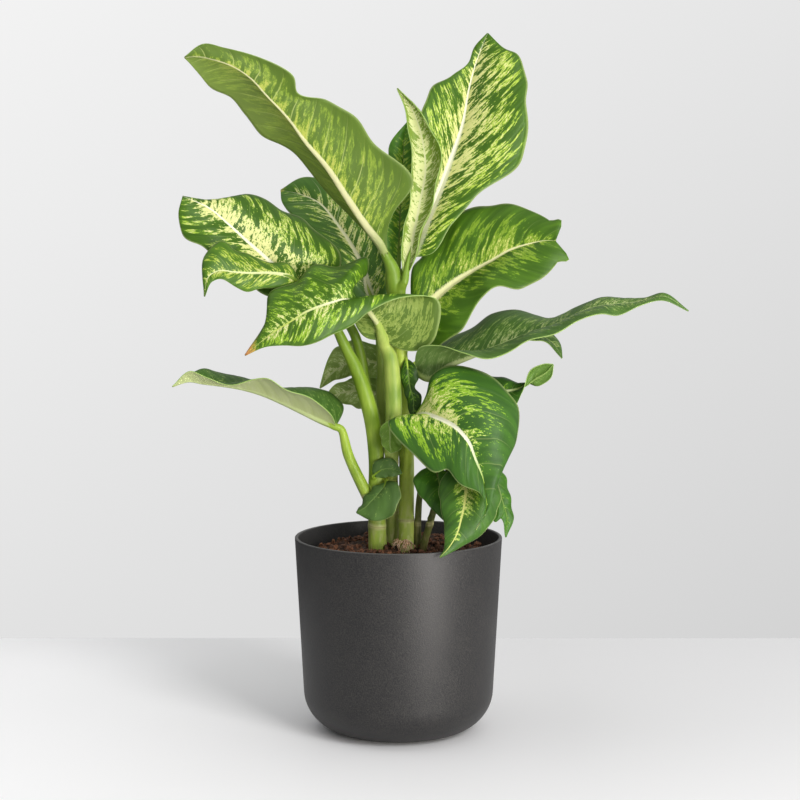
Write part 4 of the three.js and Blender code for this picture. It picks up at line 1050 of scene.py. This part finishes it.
marbled_under = leaf_skin(
    "marbled_blade_under", 63.0,
    cover=0.62, creamy=0.15, margin=0.12,
    ground="#546E25", mid="#5F7A2B", light="#849945", cream="#A2AE63",
    rib_width=5.0, rib_colour="#C9CD92", vein=0.2, rough=0.55, glow=0.2,
)
make_blade("leaf_centre_front", 2.8, centre_upper, marbled_under, [
    ((11, -18, 330), (-28, -18, 343)),
    ((32, -18, 345), (-36, -22, 356)),
    ((-31, -40, 371), (31, -24, 374), (-39, -26, 373)),
    ((-39, -45, 374), (4, -36, 376), (-40, -20, 386)),
    ((-47, -49, 375), (-23, -50, 366), (-27, -10, 394)),
    ((-55, -53, 373), (-37, -57, 357), (-26, -8, 409)),
    ((-65, -57, 370), (-51, -61, 349), (-50, -14, 401)),
    ((-77, -60, 365), (-64, -64, 343), (-72, -22, 404)),
    ((-88, -63, 358), (-79, -66, 338), (-85, -36, 388)),
    ((-101, -65, 350), (-95, -68, 339), (-107, -46, 380)),
    ((-113, -67, 341), (-110, -69, 337), (-109, -56, 358)),
    ((-126, -69, 330),),
])
long_upper = leaf_skin(
    "long_blade_upper", 83.0,
    cover=0.2, creamy=0.2,
    ground="#3F6222", mid="#507430", light="#7C9746", cream="#B1BB80",
    rib_width=3.4, rib_colour="#B9CC90", vein=0.2, rough=0.46,
)
long_under = leaf_skin(
    "long_blade_under", 83.0,
    cover=0.3, creamy=0.1, softness=3.0,
    ground="#AAB57C", mid="#B4BE87", light="#AFB886", cream="#C3C99A",
    rib_width=5.0, rib_colour="#BBC98C", vein=0.3, rough=0.55,
)
make_blade("leaf_left_long", 2.2, long_upper, long_under, [
    ((-56, -22, 275), (-48, 10, 276)),
    ((-69, -40, 289), (-57, 22, 290)),
    ((-100, -22, 287), (-88, -50, 299), (-76, 20, 295)),
    ((-116, -25, 294), (-106, -52, 308), (-100, 14, 296)),
    ((-133, -28, 299), (-122, -50, 308), (-126, 8, 302)),
    ((-150, -31, 302), (-143, -46, 305), (-141, 0, 308)),
    ((-165, -34, 304), (-162, -44, 310), (-157, -10, 313)),
    ((-176, -37, 306), (-175, -41, 315), (-168, -22, 315)),
    ((-190, -40, 302),),
])

# ---- Blades at the right ------------------------------------------------------------------------
# A round-ended blade, a long wavy one that twists over, a smaller one under it, the large dark one that
# hangs in front, a twisted one behind that and a small dark one beside the canes.

right_upper = leaf_skin(
    "right_blade_upper", 71.0,
    cover=0.5, creamy=0.12, margin=0.3, left_cover=0.12, beside_rib=0.7, islands=0.46,
    fineness=0.62,
    light="#7B9C2A", cream="#C8CC74",
    rib_width=10.0, rib_colour="#DCDCA4",
)
make_blade("leaf_right_middle", 3, right_upper, marbled_under, [
    ((12, 14, 393), (25, 4, 336)),
    ((22, 18, 410), (38, -4, 338)),
    ((50, 9, 389), (36, 22, 428), (54, -10, 350)),
    ((65, 8, 398), (49, 24, 446), (69, -16, 376)),
    ((81, 5, 407), (68, 22, 452), (85, -18, 385)),
    ((96, 2, 416), (89, 18, 455), (104, -20, 385)),
    ((111, -1, 421), (110, 12, 451), (122, -18, 393)),
    ((125, -5, 424), (129, 2, 441), (135, -14, 406)),
    ((133, -7, 424), (138, -4, 433), (141, -10, 416)),
    ((134, -8, 424),),
])
satin_upper = leaf_skin(
    "satin_blade_upper", 83.0,
    cover=0.36, creamy=0.3, margin=0.3, softness=2.0,
    ground="#476A2A", mid="#5B7E36", light="#87A253", cream="#B7C184",
    rib_width=2.6, rib_colour="#A9BE7C", vein=0.2, rough=0.4, glow=0.2,
)
satin_under = leaf_skin(
    "satin_blade_under", 83.0,
    cover=0.3, creamy=0.1, softness=4.0,
    ground="#5E7C3C", mid="#6C8946", light="#82995A", cream="#A3B078",
    rib_width=5.0, rib_colour="#BBC98C", vein=0.5, vein_colour="#9FB274", rough=0.5, glow=0.25,
)
make_blade("leaf_right_long", 2.6, satin_upper, satin_under, [
    ((27, 24, 329), (17, -22, 332)),
    ((46, 22, 341), (34, -34, 336)),
    ((62, -18, 326), (66, 16, 349), (54, -46, 332)),
    ((79, -22, 333), (82, 12, 360), (74, -52, 327)),
    ((95, -26, 340), (100, 6, 364), (92, -54, 331)),
    ((112, -29, 347), (118, -2, 361), (109, -56, 342)),
    ((132, -34, 354), (135, -10, 358), (130, -58, 349)),
    ((151, -39, 364), (158, -18, 369), (149, -58, 358)),
    ((169, -43, 370), (173, -26, 377), (167, -59, 363)),
    ((187, -47, 372), (191, -34, 376), (182, -58, 363)),
    ((203, -50, 374), (206, -42, 376), (199, -57, 371)),
    ((219, -53, 378), (220, -50, 380), (217, -56, 375)),
    ((240, -56, 366),),
])
make_blade("leaf_right_under", 1.6, satin_upper, satin_under, [
    ((69, 38, 339), (63, 14, 328)),
    ((91, 38, 348), (83, 8, 333)),
    ((105, 20, 342), (111, 32, 350), (103, 6, 339)),
    ((123, 14, 342), (129, 24, 345), (119, 4, 339)),
    ((135, 8, 334), (140, 14, 336), (131, 4, 334)),
    ((141, 2, 323),),
])
front_upper = leaf_skin(
    "front_blade_upper", 97.0,
    cover=0.26, creamy=0.26, margin=0.24, left_cover=0.62, outer_cover=-3.4, beside_rib=0.5,
    islands=0.44, fineness=1.0,
    ground="#34591E", mid="#467322", light="#84AC2A", cream="#D3D68C",
    rib_width=6.0, rib_colour="#E6E7CC", rib_tip="#9DB84A", vein=0.22,
)
make_blade("leaf_front_right", 3, front_upper, dark_under, [
    ((22, -26, 291), (-8, -40, 273)),
    ((29, -30, 310), (7, -54, 253)),
    ((48, -54, 269), (53, -30, 319), (29, -66, 235)),
    ((58, -62, 258), (83, -32, 304), (42, -72, 236)),
    ((64, -68, 243), (99, -38, 285), (53, -78, 223)),
    ((69, -74, 230), (99, -48, 260), (67, -82, 219)),
    ((71, -80, 218), (90, -60, 243), (71, -84, 212)),
    ((72, -85, 206), (81, -72, 225), (69, -87, 203)),
    ((69, -89, 198), (74, -84, 208), (67, -90, 196)),
    ((63, -92, 189),),
])
twisted_under = leaf_skin(
    "twisted_blade_under", 89.0,
    cover=0.1, creamy=0.1,
    ground="#5C8034", mid="#6C8F3E", light="#86A452",
    rib_width=0.8, rib_colour="#8FAC5C", vein=0.05, glow=0.25,
)
make_blade("leaf_right_twisted", 1.8, front_upper, twisted_under, [
    ((51, 12, 297), (49, -8, 271)),
    ((70, 12, 304), (69, -12, 271)),
    ((87, -4, 294), (89, 8, 306), (90, -14, 275)),
    ((100, -8, 296), (104, 0, 300), (102, -14, 287)),
    ((108, -12, 300), (112, -7, 302), (107, -16, 296)),
    ((118, -15, 307), (121, -12, 301), (113, -17, 314)),
    ((126, -16, 312), (130, -15, 308), (124, -17, 319)),
    ((132, -16, 319),),
], arch=0.28)
inner_upper = leaf_skin(
    "inner_blade_upper", 21.0,
    cover=0.3, creamy=0.0, margin=0.3,
    ground="#24400C", mid="#365A13", light="#5C8420",
    rib_width=1.2, rib_colour="#5F7A34", vein=0.05,
)
make_blade("leaf_inner_dark", 1.2, inner_upper, dark_under, [
    ((13, -9, 317), (4, -8, 315)),
    ((16, -11, 307), (3, -9, 305)),
    ((10, -12, 299), (13, -12, 299), (6, -10, 297)),
    ((13, -13, 289), (19, -13, 291), (8, -11, 287)),
    ((13, -14, 281), (18, -14, 281), (10, -13, 278)),
    ((13, -15, 272),),
])

# ---- Low blades ---------------------------------------------------------------------------------
# Small, darker blades of the shoot and the lower joints: one hangs over the rim, and two are little
# more than bracts.

rim_upper = leaf_skin(
    "rim_blade_upper", 103.0,
    cover=0.3, creamy=0.25, margin=0.6, outer_cover=-1.2, beside_rib=1.0, fineness=0.75,
    ground="#3A6020", mid="#4B7524", light="#86AA38", cream="#CDD27E",
    rib_width=2.8, rib_colour="#CCD277",
)
make_blade("leaf_over_rim", 2.2, rim_upper, dark_under, [
    ((66, -44, 230), (41, -46, 229)),
    ((81, -50, 221), (35, -50, 219)),
    ((55, -66, 207), (84, -58, 210), (36, -58, 207)),
    ((52, -73, 195), (80, -64, 197), (38, -68, 193)),
    ((48, -80, 183), (68, -72, 182), (39, -78, 181)),
    ((42, -86, 174), (52, -81, 174), (38, -85, 172)),
    ((34, -91, 166),),
])
deep_upper = leaf_skin(
    "deep_blade_upper", 117.0,
    cover=0.12, creamy=0.1, margin=0.3,
    ground="#386318", mid="#4A7D20", light="#6C9430",
    rib_width=1.3, rib_colour="#6E8C3E",
)
make_blade("leaf_low_dark", 1.8, deep_upper, dark_under, [
    ((40, -26, 227), (22, -23, 230)),
    ((45, -30, 217), (14, -28, 221)),
    ((39, -38, 206), (48, -37, 204), (21, -36, 207)),
    ((42, -44, 195), (49, -45, 193), (33, -43, 195)),
    ((47, -52, 181),),
])
make_blade("leaf_low_right", 1.6, deep_upper, dark_under, [
    ((87, -30, 227), (72, -36, 224)),
    ((92, -36, 214), (76, -44, 208)),
    ((88, -45, 204), (94, -42, 204), (81, -50, 189)),
    ((91, -49, 193), (96, -47, 192), (87, -51, 192)),
    ((90, -52, 176),),
])
bract_upper = leaf_skin(
    "bract_blade_upper", 131.0,
    cover=0.0, creamy=0.1, margin=0.2,
    ground="#47652E", mid="#577A37", light="#86A052",
    rib_width=0.5, rib_colour="#6E8A48", vein=0.0, rough=0.5,
)
make_blade("leaf_low_rounded", 1.4, bract_upper, dark_under, [
    ((-3, -18, 218), (-16, -13, 215)),
    ((1, -24, 209), (-22, -13, 211)),
    ((-23, -20, 202), (-6, -26, 191), (-28, -13, 204)),
    ((-28, -21, 197), (-20, -25, 186), (-32, -15, 197)),
    ((-36, -21, 192),),
])
make_blade("leaf_low_shield", 1.2, bract_upper, dark_under, [
    ((-20, -10, 233), (-14, -11, 222)),
    ((-11, -11, 237), (-9, -12, 223)),
    ((-3, -12, 228), (-3, -12, 235), (-3, -13, 223)),
    ((3, -13, 225),),
])
curled_skin = leaf_skin(
    "curled_blade", 131.0,
    cover=0.1, creamy=0.1,
    ground="#769C3A", mid="#84AA46", light="#98B85A",
    rib_width=0.8, rib_colour="#9CB866", vein=0.05, glow=0.25,
)
make_blade("leaf_bract", 1.2, curled_skin, curled_skin, [
    ((-14, -21, 265), (-2, -21, 262)),
    ((-14, -22, 257), (1, -22, 254)),
    ((-7, -25, 250), (-12, -24, 249), (1, -24, 247)),
    ((-6, -26, 244),),
])

# ---- Blades at the back -------------------------------------------------------------------------
# Two hanging blades between the canes, and three that fill the side turned to the wall.

hanging_under = leaf_skin(
    "hanging_blade_under", 149.0,
    cover=0.5, creamy=0.5, margin=0.2, softness=2.0,
    ground="#96AE5E", mid="#A6BD6E", light="#C2D28C", cream="#E2E8B8",
    rib_width=2.4, rib_colour="#D3DBA4", vein=0.2, glow=0.45,
)
make_blade("leaf_back_hanging", 1.6, hanging_under, hanging_under, [
    ((-13, 38, 325), (-15, 46, 306)),
    ((-29, 38, 334), (-30, 52, 302)),
    ((-42, 48, 317), (-44, 42, 334), (-42, 54, 304)),
    ((-55, 50, 310), (-58, 46, 326), (-52, 54, 302)),
    ((-64, 51, 302), (-65, 49, 311), (-60, 53, 299)),
    ((-70, 51, 293),),
])
make_blade("leaf_back_small", 1.5, hanging_under, hanging_under, [
    ((-15, 27, 299), (-17, 33, 277)),
    ((-31, 26, 304), (-31, 36, 277)),
    ((-43, 33, 292), (-45, 30, 301), (-44, 37, 280)),
    ((-55, 34, 289), (-57, 32, 296), (-55, 36, 283)),
    ((-66, 34, 284),),
])
make_blade("leaf_behind_left", 2.2, lime_upper, marbled_under, [
    ((-38, 44, 353), (1, 60, 357)),
    ((-65, 62, 380), (-7, 96, 379)),
    ((-52, 104, 398), (-81, 86, 400), (-23, 122, 399)),
    ((-72, 128, 410), (-91, 114, 410), (-50, 142, 412)),
    ((-91, 146, 412), (-100, 138, 409), (-82, 154, 412)),
    ((-105, 158, 404),),
])
make_blade("leaf_behind_right", 2.2, right_upper, marbled_under, [
    ((22, 62, 377), (31, 34, 367)),
    ((30, 96, 399), (50, 50, 393)),
    ((52, 98, 409), (47, 122, 419), (71, 76, 409)),
    ((73, 122, 419), (66, 140, 429), (90, 102, 418)),
    ((94, 140, 425), (89, 148, 429), (103, 130, 423)),
    ((110, 152, 421),),
])
make_blade("leaf_behind_low", 1.8, long_upper, long_under, [
    ((4, 46, 251), (36, 28, 253)),
    ((13, 76, 259), (56, 52, 261)),
    ((52, 88, 261), (32, 102, 260), (73, 76, 260)),
    ((67, 108, 255), (57, 116, 254), (82, 100, 254)),
    ((83, 124, 242),),
])

# ---- Studio ------------------------------------------------------------------------------------
# A pale table top that ends before a pale backdrop, a high and a low soft light at the right front,
# faint ones at the left front and over the left, and the camera.

FLOOR_BACK = 0.342
FLOOR_HALF_WIDTH = 3.0
FLOOR_FRONT = -1.8
FLOOR_GAP = 0.0002  # under the pot


def table_top():
    """Matt painted board with clouds of a third of a metre, and painted light that makes it whiter at
    the left.
    """
    material, tree = new_material("pale_board")
    place = add(tree, "TexCoord").outputs["Object"]
    aside = add(tree, "SeparateXYZ", {0: place}).outputs["X"]
    cloud = add(tree, "TexNoise", {"Vector": place, "Scale": 3.0})
    # painted light: the board is whiter towards the left
    clouds_and_painted_light = add(tree, "Math", {0: cloud, 1: 0.1, 2: aside}, operation="MULTIPLY_ADD")
    clouds_and_painted_light = add(tree, "MapRange", {0: clouds_and_painted_light, 1: -0.3, 2: 0.2, 3: 0.0, 4: 1.0})
    shades = {0: clouds_and_painted_light, 6: linear("#FBFBFC"), 7: linear("#E3E3E4")}
    colour = add(tree, "Mix", shades, data_type="RGBA")
    skin = add(tree, "BsdfPrincipled", {"Base Color": colour, "Roughness": 0.6})
    add(tree, "OutputMaterial", {0: skin})
    return material


bpy.ops.object.select_all(action="DESELECT")
bpy.ops.mesh.primitive_plane_add(size=1)
floor = bpy.context.object
floor.name = "table_top"
for corner in floor.data.vertices:
    corner.co.x *= 2 * FLOOR_HALF_WIDTH
    corner.co.y = FLOOR_BACK if corner.co.y > 0 else FLOOR_FRONT
    corner.co.z = -FLOOR_GAP
floor.data.materials.append(table_top())

# the backdrop is brighter at the left and higher up, and so is the light that the room sends back
world = bpy.data.worlds.new("pale_backdrop")
world.use_nodes = True
sky = world.node_tree
sky.nodes.clear()
ahead = add(sky, "SeparateXYZ", {0: add(sky, "TexCoord").outputs["Generated"]})
tones = []
for aside, upward, level in ((-0.24, 0.38, 0.79), (0.25, 0.42, 0.36)):
    tone = add(sky, "Math", {0: ahead.outputs["X"], 1: aside, 2: level}, operation="MULTIPLY_ADD")
    tones.append(
        add(sky, "Math", {0: ahead.outputs["Z"], 1: upward, 2: tone}, operation="MULTIPLY_ADD")
    )
backdrop, room = tones
room = add(sky, "Math", {0: room, 1: 0.05}, operation="MAXIMUM")
seen = add(sky, "LightPath").outputs["Is Camera Ray"]
strength = add(sky, "MapRange", {0: seen, 1: 0.0, 2: 1.0, 3: room, 4: backdrop})
light = add(sky, "Background", {"Color": (1.0, 1.0, 1.0, 1.0), "Strength": strength})
add(sky, "OutputWorld", {0: light})
bpy.context.scene.world = world
bpy.context.scene.view_settings.view_transform = "Standard"


def add_softbox(name, place, target, size, power, tint=(1, 1, 1)):
    """A square area light that faces a point."""
    lamp = bpy.data.lights.new(name, "AREA")
    lamp.shape = "SQUARE"
    lamp.size = size
    lamp.energy = power
    lamp.color = tint
    softbox = bpy.data.objects.new(name, lamp)
    softbox.location = place
    softbox.rotation_euler = (Vector(target) - Vector(place)).to_track_quat("-Z", "Y").to_euler()
    bpy.context.collection.objects.link(softbox)


add_softbox("key", (1.1, -1.55, 1.35), (0, 0, 0.25), 0.8, 24)
add_softbox("low_key", (0.98, -1.4, 0.22), (0, 0, 0.12), 0.55, 24, (1, 0.95, 0.9))
add_softbox("fill", (-1.7, -1.2, 1.2), (0, 0, 0.4), 1.4, 0.8)
add_softbox("over_left", (-0.9, 0.1, 1.5), (-0.4, 0, 0), 1.0, 3)

CAMERA_PLACE = (0.00065, -1.5, 0.4215)
CAMERA_TILT = 5.12  # degrees down from level

camera_data = bpy.data.cameras.new("camera")
camera_data.sensor_width = 36
camera_data.lens = 78.5
camera_data.shift_x = 0.001
camera = bpy.data.objects.new("camera", camera_data)
camera.location = CAMERA_PLACE
camera.rotation_euler = (math.radians(90 - CAMERA_TILT), 0, 0)
bpy.context.collection.objects.link(camera)
bpy.context.scene.camera = camera
